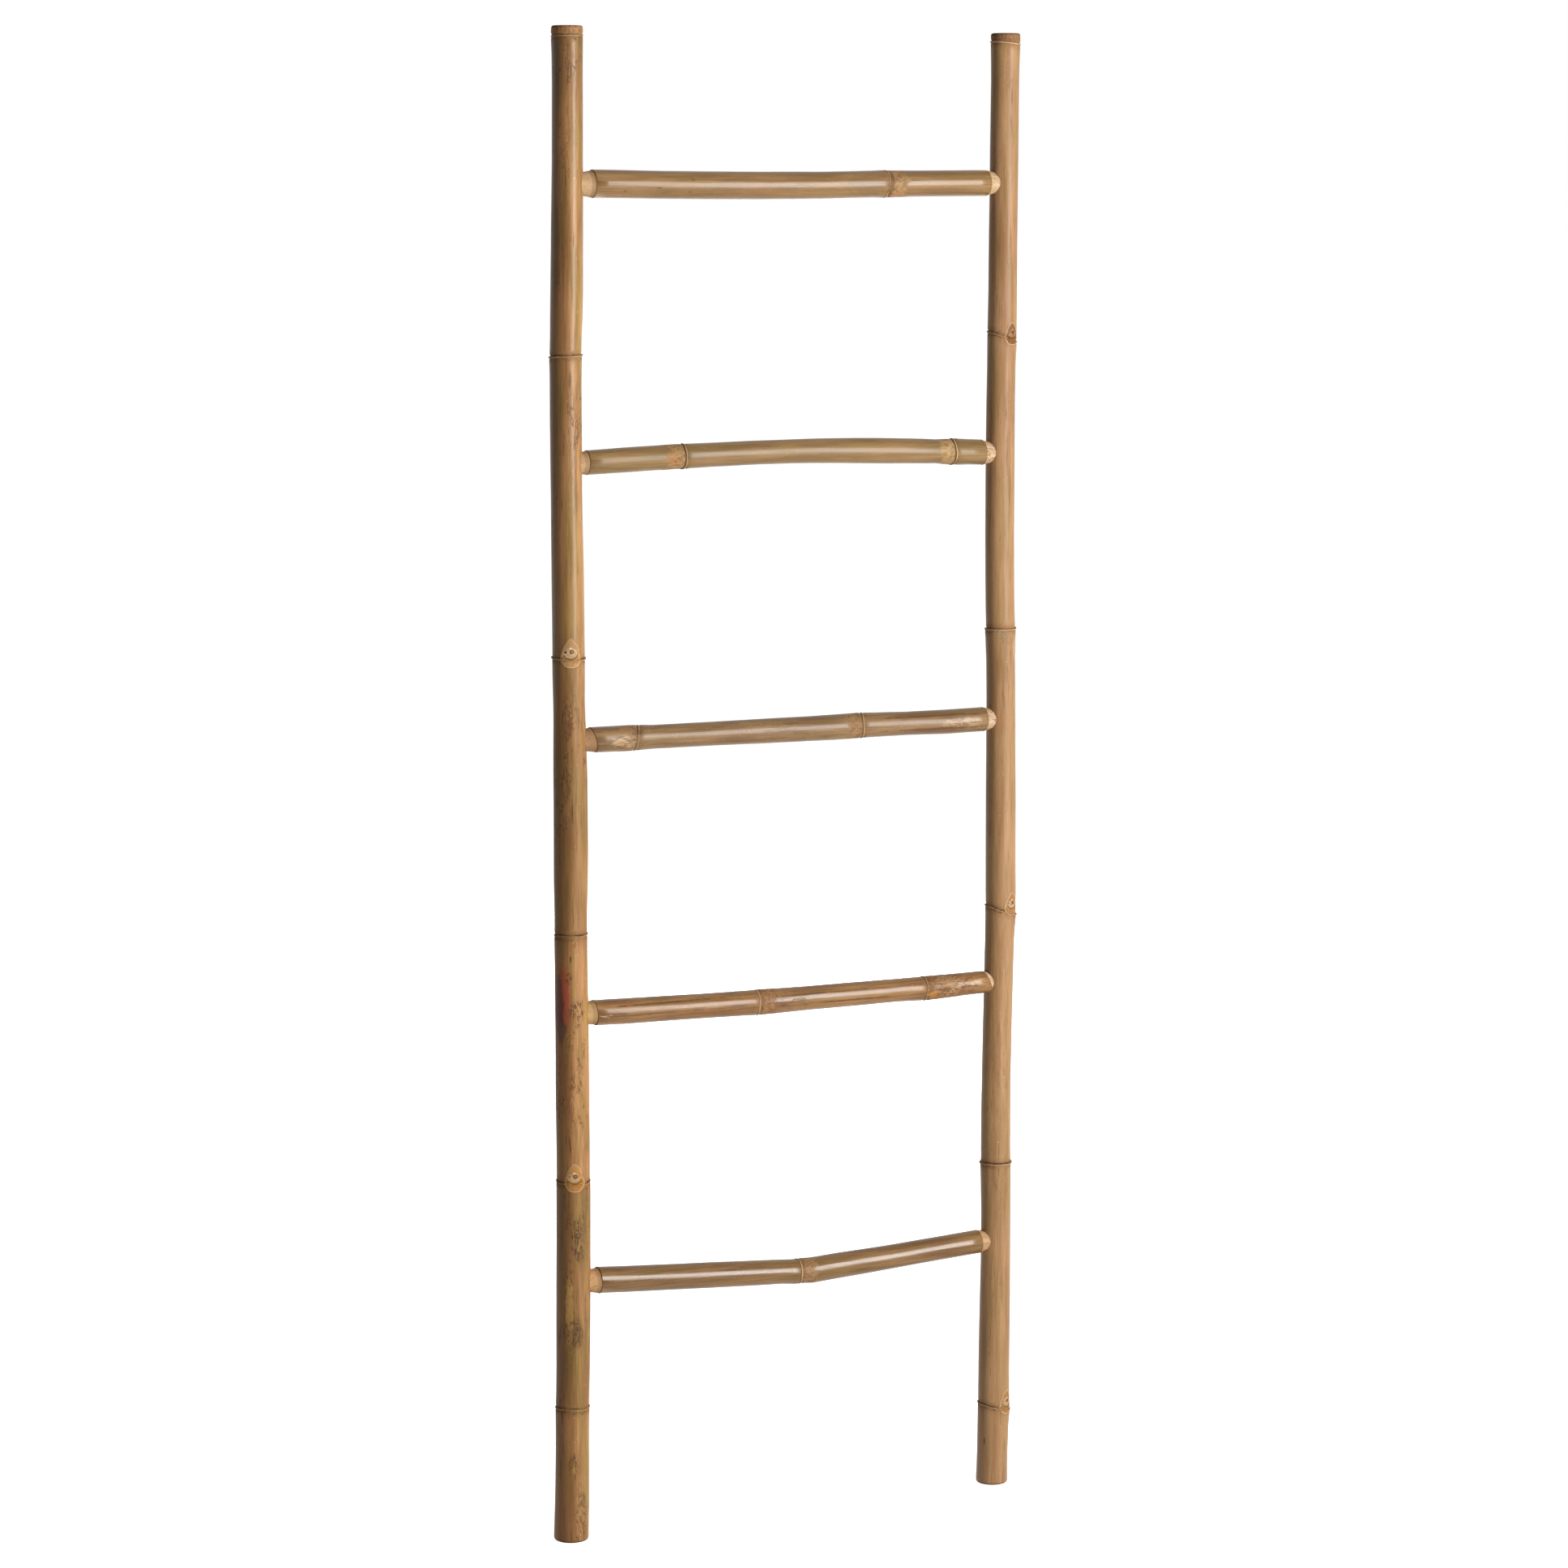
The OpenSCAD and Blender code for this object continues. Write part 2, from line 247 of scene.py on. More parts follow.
def pick(*objects):
    """Selects these objects and nothing else, with the first of them active."""
    bpy.ops.object.select_all(action="DESELECT")
    for part in objects:
        part.select_set(True)
    bpy.context.view_layer.objects.active = objects[0]


def lay(culm, place, turn=(0, 0, 0)):
    """Moves a finished culm from the bench to its place, so that its mesh holds the place."""
    pick(culm)
    culm.location, culm.rotation_euler = place, turn
    bpy.ops.object.transform_apply(location=True, rotation=True, scale=True)


def bore(culm, drill):
    """Takes the drill's shape out of the culm. The cut shows the drill's second material."""
    for face in drill.data.polygons:
        face.material_index = 1
    pick(culm)
    cut = culm.modifiers.new("Bore", "BOOLEAN")
    cut.object, cut.operation, cut.solver = drill, "DIFFERENCE", "EXACT"
    bpy.ops.object.modifier_apply(modifier=cut.name)


def join(objects):
    pick(*objects)
    bpy.ops.object.join()
    return objects[0]


# Joints, left then right, from the top rung down: where the rung's axis meets the rail's, in millimetres.
joints = [
    ((-302.1, 1709.6), (298.2, 1711.9)),
    ((-303.2, 1368.3), (298.5, 1367.9)),
    ((-301.1, 1024.4), (301.2, 1023.4)),
    ((-299.4, 679.7), (303.1, 677.2)),
    ((-299.0, 335.6), (300.6, 330.7)),
]
# Distance from the rail's axis at which each rung's skin stops, left and right, and the slant of the stop:
# how much nearer the rail it lies at the top than at the bottom.
skin_stops = [((34, 1), (26, 0)), ((26, 0), (29, 0)), ((31, 7), (26, 0)), ((30, 2), (20, -11)), ((34, 1), (26, -2))]
# Radius of the tenons, how far their tips pass the rail's axis, the whittled slope and the play round it.
TENON = 13.25
PAST_AXIS = 4
WHITTLED = math.tan(math.radians(11))
FIT = 0.2
# How far a drill for a whittled end reaches from the rail's axis.
DRILL_REACH = 60
# Nails: each rail's diameter at its foot and top in the solids, how deep the heads' seats are sunk from there, their
# radius, the length and radius of the shafts, how far behind the rail a drill starts, and how far a nail stands
# beside the rail's axis, towards the rung.
rail_tapers = [[(0, 44.2), (TOP, 38.0)], [(0, 41.8), (TOP, 36.4)]]
SEAT_DEPTH, SEAT, SHAFT_LENGTH, SHAFT, BEHIND, BESIDE = 1.6, 2.2, 30.4, 1, 12, 4


def end_rows(stop, r_skin, reach, gap):
    """The whittled end, from its tip past the rail's axis to the skin: distance from the axis and radius."""
    slope_start = stop - (r_skin - TENON) / WHITTLED
    r_out = TENON + (reach - slope_start) * WHITTLED
    return [(-PAST_AXIS - gap, TENON + gap), (slope_start, TENON + gap), (reach, r_out + gap)]


def rung_drills(side, rung_skins):
    """Drills as big as the whittled ends and the gap round them, one for each joint of a rail."""
    drills = []
    for pair, stops, skin in zip(joints, skin_stops, rung_skins):
        x, z = pair[side]
        stop = stops[side][0]
        end = skin[-1] if side else skin[0]
        rows = end_rows(stop, end[2] / 2, DRILL_REACH, FIT)
        slope = (between(skin, 0, 1) - end[1]) / abs(end[0])
        drill = grow_culm("drill", [(d, 0, r) for d, r in rows])
        for vertex in drill.data.vertices:
            vertex.co.x -= vertex.co.z * slope
        turn = math.radians(-90 if side else 90)
        lay(drill, (x * MM, 0, z * MM), (0, turn, 0))
        if side:
            for vertex in drill.data.vertices:
                vertex.co.z = 2 * z * MM - vertex.co.z
            drill.data.flip_normals()
        drills.append(drill)
    return join(drills)


def nail_drills():
    """Drills for the ten nails: a wide seat in the rail's back and a narrow shaft in front of it."""
    drills = []
    for pair in joints:
        for side, (x, z) in enumerate(pair):
            seat = between(rail_tapers[side], z, 1) / 2 - SEAT_DEPTH
            rows = [(seat - SHAFT_LENGTH, 0, SHAFT), (seat, 0, SHAFT), (seat, 0, SEAT), (seat + BEHIND, 0, SEAT)]
            drill = grow_culm("nail drill", rows)
            lay(drill, ((x + (-BESIDE if side else BESIDE)) * MM, 0, z * MM), (math.radians(-90), 0, 0))
            drills.append(drill)
    return join(drills)


# Height over or under the rung's nominal height and diameter along each rung, from left to right.
rung_heights = [1711, 1367, 1023, 679, 335]
rung_skins = [
    [(-268, -1.1, 34.4), (-190, -2.2, 34.3), (-110, -3.0, 34.3), (-43, -3.1, 34.1), (0, -2.8, 34.0), (37, -2.5, 33.7),
     (78, -1.8, 33.3), (112, -1.0, 33.6), (126, -0.9, 34.0), (140, -0.8, 33.4), (173, -0.3, 32.8), (272, 0.5, 32.7)],
    [(-276, 2.2, 30.5), (-227, 4.2, 31.2), (-190, 5.6, 30.9), (-172, 6.2, 31.2), (-140, 7.1, 31.2), (-110, 7.9, 30.4),
     (-60, 9.0, 30.4), (0, 9.5, 30.4), (25, 9.5, 30.9), (52, 9.2, 31.5), (93, 8.3, 32.2), (120, 7.5, 32.5),
     (162, 6.2, 32.1), (190, 5.2, 31.7), (204, 4.7, 30.9), (219, 4.3, 33.0), (236, 3.5, 33.6), (250, 3.0, 33.0),
     (270, 2.2, 32.4)],
    [(-270, 1.4, 32.0), (-228, 1.1, 32.6), (-205, 1.0, 31.0), (-188, 1.0, 30.1), (-120, 0.8, 30.4), (-28, 0.5, 31.4),
     (27, 0.4, 32.0), (60, 0.4, 32.8), (85, 0.8, 32.6), (104, 1.2, 31.9), (165, 0.3, 30.3), (221, -0.4, 31.6),
     (276, 0.3, 31.6)],
    [(-270, -0.1, 32.4), (-229, -1.2, 33.0), (-176, -2.0, 32.4), (-122, -3.0, 31.8), (-60, -4.0, 32.3),
     (-40, -4.2, 32.9), (-15, -4.3, 32.4), (28, -4.1, 31.2), (83, -3.9, 31.2), (153, -3.7, 30.2), (186, -4.0, 31.6),
     (204, -3.9, 31.8), (224, -3.6, 30.8), (283, -2.1, 29.2)],
    [(-262, -0.8, 33.8), (-230, -3.4, 33.5), (-135, -9.3, 33.1), (-45, -14.7, 32.7), (-12, -16.6, 31.8),
     (14, -18.4, 33.0), (34, -19.2, 33.3), (71, -17.0, 33.2), (128, -14.2, 32.0), (156, -12.7, 31.6),
     (180, -11.2, 31.3), (227, -8.5, 31.0), (278, -5.4, 31.0)],
]


def feed(socket, value):
    """Links a socket to another one, or sets it."""
    if isinstance(value, bpy.types.NodeSocket):
        socket.id_data.links.new(value, socket)
    else:
        socket.default_value = value


def new_node(kind, *values):
    """A shader node in the tree of the first socket among the values that it will work on."""
    tree = next(value.id_data for value in values if isinstance(value, bpy.types.NodeSocket))
    return tree.nodes.new("ShaderNode" + kind)


def calc(what, *numbers, clamp=False):
    node = new_node("Math", *numbers)
    node.operation, node.use_clamp = what, clamp
    for socket, number in zip(node.inputs, numbers):
        feed(socket, number)
    return node.outputs[0]


def times(a, b, clamp=False):
    return calc("MULTIPLY", a, b, clamp=clamp)


def plus(a, b, clamp=False):
    return calc("ADD", a, b, clamp=clamp)


def minus(a, b):
    return calc("SUBTRACT", a, b)


def vector(what, *values):
    node = new_node("VectorMath", *values)
    node.operation = what
    sockets = (node.inputs[0], node.inputs["Scale"]) if what == "SCALE" else node.inputs
    for socket, value in zip(sockets, values):
        feed(socket, value)
    return node.outputs["Value"] if what in ("LENGTH", "DOT_PRODUCT") else node.outputs["Vector"]


def step(value, low, high, at_low=0.0, at_high=1.0):
    """Rises smoothly from one number to another while the value goes from low to high."""
    numbers = (value, low, high, at_low, at_high)
    node = new_node("MapRange", *numbers)
    node.interpolation_type = "SMOOTHSTEP"
    for socket, number in zip(node.inputs, numbers):
        feed(socket, number)
    return node.outputs[0]


def mix(share, a, b, how="MIX"):
    node = new_node("Mix", share, a, b)
    node.data_type, node.blend_type = "RGBA", how
    feed(node.inputs["Factor"], share)
    feed(node.inputs[6], a)
    feed(node.inputs[7], b)
    return node.outputs[2]


def clouds(place, scale, detail=3.0, rough=0.5, bend=0.0):
    node = new_node("TexNoise", place)
    sockets = {"Vector": place, "Scale": scale, "Detail": detail, "Roughness": rough, "Distortion": bend}
    for label, value in sockets.items():
        feed(node.inputs[label], value)
    return node.outputs[0]


# What an effect gives back: the colour, roughness and height of the skin.
SURFACE = [("Colour", "Color", (0.5, 0.5, 0.5, 1)), ("Roughness", "Float", 0.3), ("Height", "Float", 0.0)]


def new_effect(name, takes, gives=SURFACE):
    """A shader node group with named sockets, of which the first takes the culm's own coordinates."""
    group = bpy.data.node_groups.new(name, "ShaderNodeTree")
    for label, kind, value in [("Place", "Vector", (0, 0, 0))] + takes:
        socket = group.interface.new_socket(label, in_out="INPUT", socket_type="NodeSocket" + kind)
        socket.default_value = value
    for label, kind, _ in gives:
        group.interface.new_socket(label, in_out="OUTPUT", socket_type="NodeSocket" + kind)
    return group, group.nodes.new("NodeGroupInput").outputs, group.nodes.new("NodeGroupOutput").inputs


def parts(place):
    """X, Y and Z of a place."""
    node = new_node("SeparateXYZ", place)
    feed(node.inputs[0], place)
    return node.outputs


def drawn(place, share):
    """Makes a pattern longer along the culm."""
    return vector("MULTIPLY", place, (1, 1, share))


def stripe(value, middle, half, edge):
    """1 on a line at a middle value, falling off to 0 over its edge."""
    far = calc("ABSOLUTE", minus(value, middle))
    return step(far, half, half + edge, 1.0, 0.0)


def oval(a, g, a0, g0, half_a, half_g, low, high):
    """A soft oval on a bud: 1 inside it and 0 outside."""
    across = calc("POWER", calc("DIVIDE", minus(a, a0), half_a), 2.0)
    along = calc("POWER", calc("DIVIDE", minus(g, g0), half_g), 2.0)
    return step(plus(across, along), low, high, 1.0, 0.0)


# Bamboo skin: tan and darker streaks, greener clouds, thin dark fibres, scribbled brown mottles and pale flecks.
skin_effect, take, give = new_effect(
    "Culm skin",
    [("Light", "Color", paint(190, 150, 105)), ("Dark", "Color", paint(140, 100, 60)),
     ("Mottle", "Color", paint(80, 55, 35)), ("Olive", "Float", 0.5), ("Streaks", "Float", 1.0),
     ("Fibres", "Float", 0.5), ("Mottles", "Float", 0.5), ("Flecks", "Float", 0.5)],
)
place = take["Place"]
broad = clouds(drawn(place, 0.08), 95, 4, 0.6)
fine = clouds(drawn(place, 0.025), 800, 3, 0.6)
drift = clouds(vector("MULTIPLY", place, (0.3, 0.3, 1)), 7, 2, 0.5)
tone = plus(times(broad, 0.5), times(fine, 0.3))
tone = plus(tone, times(drift, 0.2))
spread = times(take["Streaks"], 0.13)
share = step(tone, minus(0.5, spread), plus(0.5, spread))
colour = mix(share, take["Dark"], take["Light"])
green = step(clouds(drawn(place, 0.13), 62, 3, 0.55), 0.42, 0.62)
green = times(green, take["Olive"], clamp=True)
colour = mix(green, colour, (0.72, 0.84, 0.58, 1), "MULTIPLY")
here = step(clouds(drawn(place, 0.3), 38, 2, 0.5), 0.42, 0.60)
thin = step(clouds(drawn(place, 0.05), 520, 4, 0.65), 0.57, 0.68)
thin = times(times(thin, here), take["Fibres"], clamp=True)
colour = mix(thin, colour, take["Mottle"])
where = step(clouds(drawn(place, 0.5), 17, 2, 0.5), 0.50, 0.64)
cloud = clouds(drawn(place, 0.28), 135, 5, 0.6, 0.7)
patch = times(step(cloud, 0.58, 0.74), 0.45)
patch = calc("MAXIMUM", stripe(cloud, 0.56, 0.006, 0.02), patch)
patch = times(times(patch, where), take["Mottles"], clamp=True)
colour = mix(patch, colour, take["Mottle"])
fleck = step(clouds(drawn(place, 0.5), 560, 2, 0.5), 0.70, 0.76)
fleck = times(fleck, take["Flecks"], clamp=True)
colour = mix(fleck, colour, paint(222, 196, 156))
feed(give["Colour"], colour)
rough = plus(times(fine, 0.18), times(broad, 0.10))
rough = plus(rough, times(calc("MAXIMUM", patch, thin), 0.2))
feed(give["Roughness"], rough)
worn = times(calc("MAXIMUM", patch, thin), 0.3)
feed(give["Height"], minus(times(fine, 0.4), worn))

# Knot: a dark line in the groove over a pale ring, a thinner second line, and a duller, rougher band over them. Both
# dark lines are partly stain and partly painted shade.
knot_effect, take, give = new_effect(
    "Knot",
    SURFACE + [
        ("Middle", "Vector", (0, 0, 0)), ("Growth", "Float", 1.0), ("Tilt", "Vector", (0, 0, 0)),
        ("Wave", "Float", 0.0), ("Radius", "Float", 0.02), ("Dark line", "Float", 0.8), ("Pale ring", "Float", 0.5),
        ("Second line", "Float", -3.0), ("Band", "Float", 0.008), ("Band share", "Float", 0.5),
        ("Band colour", "Color", paint(160, 115, 85)),
    ],
)
place = take["Place"]
away = vector("SUBTRACT", place, take["Middle"])
away_x, away_y, away_z = parts(away)
tilted = calc("DIVIDE", vector("DOT_PRODUCT", away, take["Tilt"]), take["Radius"])
waved = times(times(away_x, away_y), take["Wave"])
waved = calc("DIVIDE", times(waved, 2.0), times(take["Radius"], take["Radius"]))
along = times(away_z, take["Growth"])
along = minus(minus(along, tilted), waved)
ragged = minus(clouds(place, 200, 3, 0.6), 0.5)
h = times(plus(along, times(ragged, 0.0022)), 1000.0)
uneven = step(clouds(place, 85, 2, 0.5), 0.36, 0.60, 0.35, 1.0)
lumps = clouds(drawn(place, 0.7), 280, 5, 0.65)
torn = times(minus(clouds(drawn(place, 0.5), 120, 4, 0.6), 0.5), 1.6)
band = plus(calc("DIVIDE", h, times(take["Band"], 1000.0)), torn)
banded = times(step(h, 0.0, 2.0), step(band, 0.80, 1.15, 1.0, 0.0))
shade = mix(1.0, take["Band colour"], (0.55, 0.47, 0.38, 1), "MULTIPLY")
band_paint = mix(step(lumps, 0.36, 0.56), shade, take["Band colour"])
bright = mix(1.0, take["Band colour"], (1.30, 1.34, 1.34, 1), "MULTIPLY")
band_paint = mix(step(lumps, 0.58, 0.68, 0.0, 0.7), band_paint, bright)
banded = times(banded, take["Band share"])
colour = mix(banded, take["Colour"], band_paint)
colour = mix(times(stripe(h, -1.0, 2.0, 9.0), 0.22), colour, paint(112, 80, 44))
pale = times(stripe(h, -0.1, 0.4, 0.9), times(uneven, take["Pale ring"]))
colour = mix(pale, colour, paint(204, 166, 122))
# painted shade: the dark line in the groove over the ring stands partly for its stain and partly for the shade in the
# groove
groove = times(stripe(h, 1.4, 0.5, 0.9), times(uneven, take["Dark line"]))
second = times(ragged, 5.0)
second = stripe(plus(minus(h, take["Second line"]), second), 0.0, 0.2, 0.8)
broken = step(clouds(place, 130, 2, 0.5), 0.46, 0.56)
second = times(times(second, broken), take["Dark line"])
lines = calc("MAXIMUM", groove, times(second, 0.7), clamp=True)
colour = mix(lines, colour, paint(54, 34, 18))
feed(give["Colour"], colour)
rough = times(stripe(h, 0.0, 3.0, 6.0), 0.22)
rough = calc("MAXIMUM", times(banded, 0.35), rough)
feed(give["Roughness"], plus(take["Roughness"], rough))
bumps = times(times(banded, minus(lumps, 0.5)), 2.6)
bumps = minus(bumps, times(lines, 0.5))
feed(give["Height"], plus(take["Height"], bumps))

# Bud scar: a drop-shaped cushion over the ring, with a pale cup, a brown eye and a small pit beside it. A shadow is
# painted under the cup's lower rim and a highlight over the eye, and the pit is painted dark as the shade inside it.
bud_effect, take, give = new_effect(
    "Bud scar",
    SURFACE + [
        ("Foot", "Vector", (0, 0, 0)), ("Growth", "Float", 1.0), ("Side", "Vector", (0, -1, 0)), ("Size", "Float", 1.0),
        ("Orange", "Float", 0.3), ("Pit", "Float", 1.0), ("Tint", "Color", (1, 1, 1, 1)),
    ],
)
place = take["Place"]
away = vector("SCALE", vector("SUBTRACT", place, take["Foot"]), 1000.0)
# A dot product gives the height, because Separate XYZ would hold two unused numbers in the renderer's small stack.
rising = vector("DOT_PRODUCT", away, (0, 0, 1))
facing = step(vector("DOT_PRODUCT", away, take["Side"]), 3.0, 8.0)
a = vector("DOT_PRODUCT", away, vector("CROSS_PRODUCT", (0, 0, 1), take["Side"]))
a = calc("DIVIDE", a, take["Size"])
g = calc("DIVIDE", times(rising, take["Growth"]), take["Size"])
wander = minus(clouds(place, 150, 3, 0.6), 0.5)
lumps = clouds(place, 340, 4, 0.6)
wide = plus(a, times(wander, 5.0))
rise = step(g, -1.0, 1.0, 13.0, 23.5)
power = step(g, -1.0, 1.0, 2.4, 1.5)
point = calc("POWER", calc("DIVIDE", calc("ABSOLUTE", wide), 12.3), power)
point = plus(point, calc("POWER", calc("DIVIDE", calc("ABSOLUTE", g), rise), power))
inside = times(step(point, 0.78, 1.0, 1.0, 0.0), facing)
rim = mix(take["Orange"], paint(184, 146, 102), paint(176, 124, 62))
rim = mix(step(lumps, 0.40, 0.64), mix(1.0, rim, (0.74, 0.66, 0.55, 1), "MULTIPLY"), rim)
upper = mix(take["Orange"], paint(158, 124, 82), paint(172, 124, 74))
bud = mix(step(g, 4.0, 13.0, 0.0, 0.8), rim, upper)
cap = times(oval(a, g, 4.0, 17.5, 7.0, 3.2, 0.5, 1.4), take["Orange"])
bud = mix(cap, bud, paint(182, 122, 60))
bud = mix(times(oval(a, g, 10.0, 8.5, 2.4, 5.0, 0.5, 1.3), 0.75), bud, paint(176, 120, 62))
cup = oval(a, g, -0.5, 5.2, 8.4, 6.8, 0.75, 1.15)
# painted shadow: a dark olive line under the cup's lower rim
under = times(oval(a, g, -0.2, 4.4, 9.6, 8.2, 0.8, 1.15), step(g, 1.0, 4.0, 0.8, 0.0))
bud = mix(under, bud, paint(108, 84, 50))
cream = mix(take["Orange"], paint(198, 170, 132), paint(190, 152, 106))
cream = mix(step(lumps, 0.38, 0.60), mix(1.0, cream, (0.72, 0.66, 0.58, 1), "MULTIPLY"), cream)
bud = mix(times(cup, step(g, 8.0, 12.0, 1.0, 0.35)), bud, cream)
# painted highlight: a pale cream spot on the ridge above the eye
bud = mix(oval(a, g, -0.5, 11.0, 1.8, 1.2, 0.4, 1.4), bud, paint(222, 196, 154))
# painted shade: the pit is painted dark, the deeper the darker, as the shade inside it
hole = step(take["Pit"], 0.0, 1.0, 0.35, 1.0)
hole = times(oval(a, g, -7.0, 6.3, 1.7, 1.6, 0.4, 1.4), hole)
bud = mix(hole, bud, paint(60, 36, 18))
bud = mix(oval(a, g, 0.9, 6.8, 3.2, 2.9, 0.5, 1.25), bud, paint(108, 66, 44))
bud = mix(oval(a, g, 1.2, 6.8, 1.2, 1.1, 0.4, 1.3), bud, paint(160, 114, 86))
bud = mix(1.0, bud, take["Tint"], "MULTIPLY")
colour = mix(inside, take["Colour"], bud)
outline = times(facing, step(g, -6.0, 14.0, 0.75, 0.3))
outline = times(stripe(point, 0.93, 0.03, 0.10), outline)
colour = mix(outline, colour, paint(206, 172, 130))
outside = times(facing, step(wander, 0.0, 0.1, 0.0, 0.3))
outside = times(stripe(point, 1.12, 0.03, 0.12), outside)
colour = mix(outside, colour, paint(96, 66, 36))
feed(give["Colour"], colour)
feed(give["Roughness"], plus(take["Roughness"], times(inside, 0.25)))
bumps = times(times(inside, minus(lumps, 0.5)), 1.8)
bumps = minus(bumps, times(hole, 1.5))
feed(give["Height"], plus(take["Height"], bumps))

# Stain: a ragged patch of another colour at a place of its own, solid or drawn as thin wandering loops.
stain_effect, take, give = new_effect(
    "Stain",
    SURFACE[:1] + [
        ("Spot", "Vector", (0, 0, 0)), ("Size", "Vector", (0.01, 0.01, 0.01)), ("Stain", "Color", paint(60, 40, 28)),
        ("Share", "Float", 0.8), ("Loops", "Float", 0.0), ("Grain", "Float", 200.0),
    ],
    SURFACE[:1],
)
place = take["Place"]
far = vector("LENGTH", vector("DIVIDE", vector("SUBTRACT", place, take["Spot"]), take["Size"]))
cloud = clouds(drawn(place, 0.4), take["Grain"], 4, 0.65)
edge = times(minus(cloud, 0.5), 1.8)
spot = step(plus(far, edge), 0.6, 1.1, 1.0, 0.0)
loops = stripe(clouds(drawn(place, 0.32), take["Grain"], 3, 0.55, 0.6), 0.5, 0.024, 0.04)
spot = times(spot, step(take["Loops"], 0.0, 1.0, 1.0, loops))
feed(give["Colour"], mix(times(spot, take["Share"]), take["Colour"], take["Stain"]))


def place_of(tree, shift, turn):
    """The culm's own coordinates: its axis along Z and its middle at the origin."""
    coordinates = tree.nodes.new("ShaderNodeTexCoord")
    mapping = tree.nodes.new("ShaderNodeMapping")
    mapping.inputs["Location"].default_value = shift
    mapping.inputs["Rotation"].default_value = turn
    feed(mapping.inputs["Vector"], coordinates.outputs["Object"])
    return mapping.outputs[0]


def new_material(name):
    material = bpy.data.materials.new(name)
    material.use_nodes = True
    tree = material.node_tree
    return material, tree, tree.nodes["Principled BSDF"]


def use(effect, **values):
    """Places a shader node group, its sockets set by their names with _ for a space."""
    node = new_node("Group", values["Place"])
    node.node_tree = effect
    for label, value in values.items():
        feed(node.inputs[label.replace("_", " ")], value)
    return node.outputs


def roughen(shader, height, strength, distance):
    """Shades the surface as if it had the height's relief."""
    bump = new_node("Bump", height)
    bump.inputs["Strength"].default_value = strength
    bump.inputs["Distance"].default_value = distance
    feed(bump.inputs["Height"], height)
    feed(shader.inputs["Normal"], bump.outputs[0])


# Depth of the skin's and the fibre's relief, in metres.
RELIEF_DEPTH = 0.0004


def skin_material(name, light, dark, mottle, looks, knots, buds, stains, shift, turn, growth=1, gloss=0.30, shine=0.3,
                  fades=(), painted_side_shade=None, relief=0.5):
    """Varnished bamboo skin. Looks: how olive, streaked, fibrous, mottled and flecked it is, each from 0 to about 1.
    Fades: from a height to another the skin takes on a shade and gets duller. Painted side shade: the skin is painted
    darker towards one side, between two x, as the shade on its side away from the lamp."""
    material, tree, shader = new_material(name)
    place = place_of(tree, shift, turn)
    olive, streaks, fibres, mottles, flecks = looks
    colour, rough, height = use(
        skin_effect, Place=place, Light=light, Dark=dark, Mottle=mottle, Olive=olive, Streaks=streaks,
        Fibres=fibres, Mottles=mottles, Flecks=flecks)
    x, _, z = parts(place)
    for start, end, shade, dullness in fades:
        part = step(z, start * MM, end * MM)
        colour = mix(part, colour, shade, "MULTIPLY")
        if dullness:
            rough = plus(rough, times(part, dullness))
    # painted shade: the side of the culm away from the key lamp is painted darker
    if painted_side_shade:
        (start, end), shade = painted_side_shade
        part = step(x, start * MM, end * MM, 1.0, 0.0)
        colour = mix(part, colour, shade, "MULTIPLY")
    for height_mm, sway, under, ring, over, tilt_x, tilt_y, wave, line, pale, second, *band in knots:
        band, band_share, band_colour = band or (8, 0.3, paint(158, 116, 78))
        colour, rough, height = use(
            knot_effect, Place=place, Colour=colour, Roughness=rough, Height=height,
            Middle=(sway * MM, 0, height_mm * MM), Growth=growth, Tilt=(tilt_x * MM, tilt_y * MM, 0),
            Wave=wave * MM, Radius=ring / 2 * MM, Dark_line=line, Pale_ring=pale, Second_line=second,
            Band=band * MM, Band_share=band_share, Band_colour=band_colour)
    for spot, size, stain, share, loops, grain in stains:
        colour, = use(
            stain_effect, Place=place, Colour=colour, Spot=[c * MM for c in spot],
            Size=[c * MM for c in size], Stain=stain, Share=share, Loops=loops, Grain=grain)
    for height_mm, angle, size, orange, pit, *tint in buds:
        sway = min(knots, key=lambda knot: abs(knot[0] - height_mm))[1]
        angle = math.radians(angle)
        colour, rough, height = use(
            bud_effect, Place=place, Colour=colour, Roughness=rough, Height=height,
            Foot=(sway * MM, 0, height_mm * MM), Growth=growth, Side=(math.sin(angle), -math.cos(angle), 0),
            Size=size, Orange=orange, Pit=pit, Tint=tint[0] if tint else (1, 1, 1, 1))
    feed(shader.inputs["Base Color"], colour)
    feed(shader.inputs["Roughness"], plus(rough, gloss, clamp=True))
    roughen(shader, height, relief, RELIEF_DEPTH)
    shader.inputs["Specular IOR Level"].default_value = shine
    return material


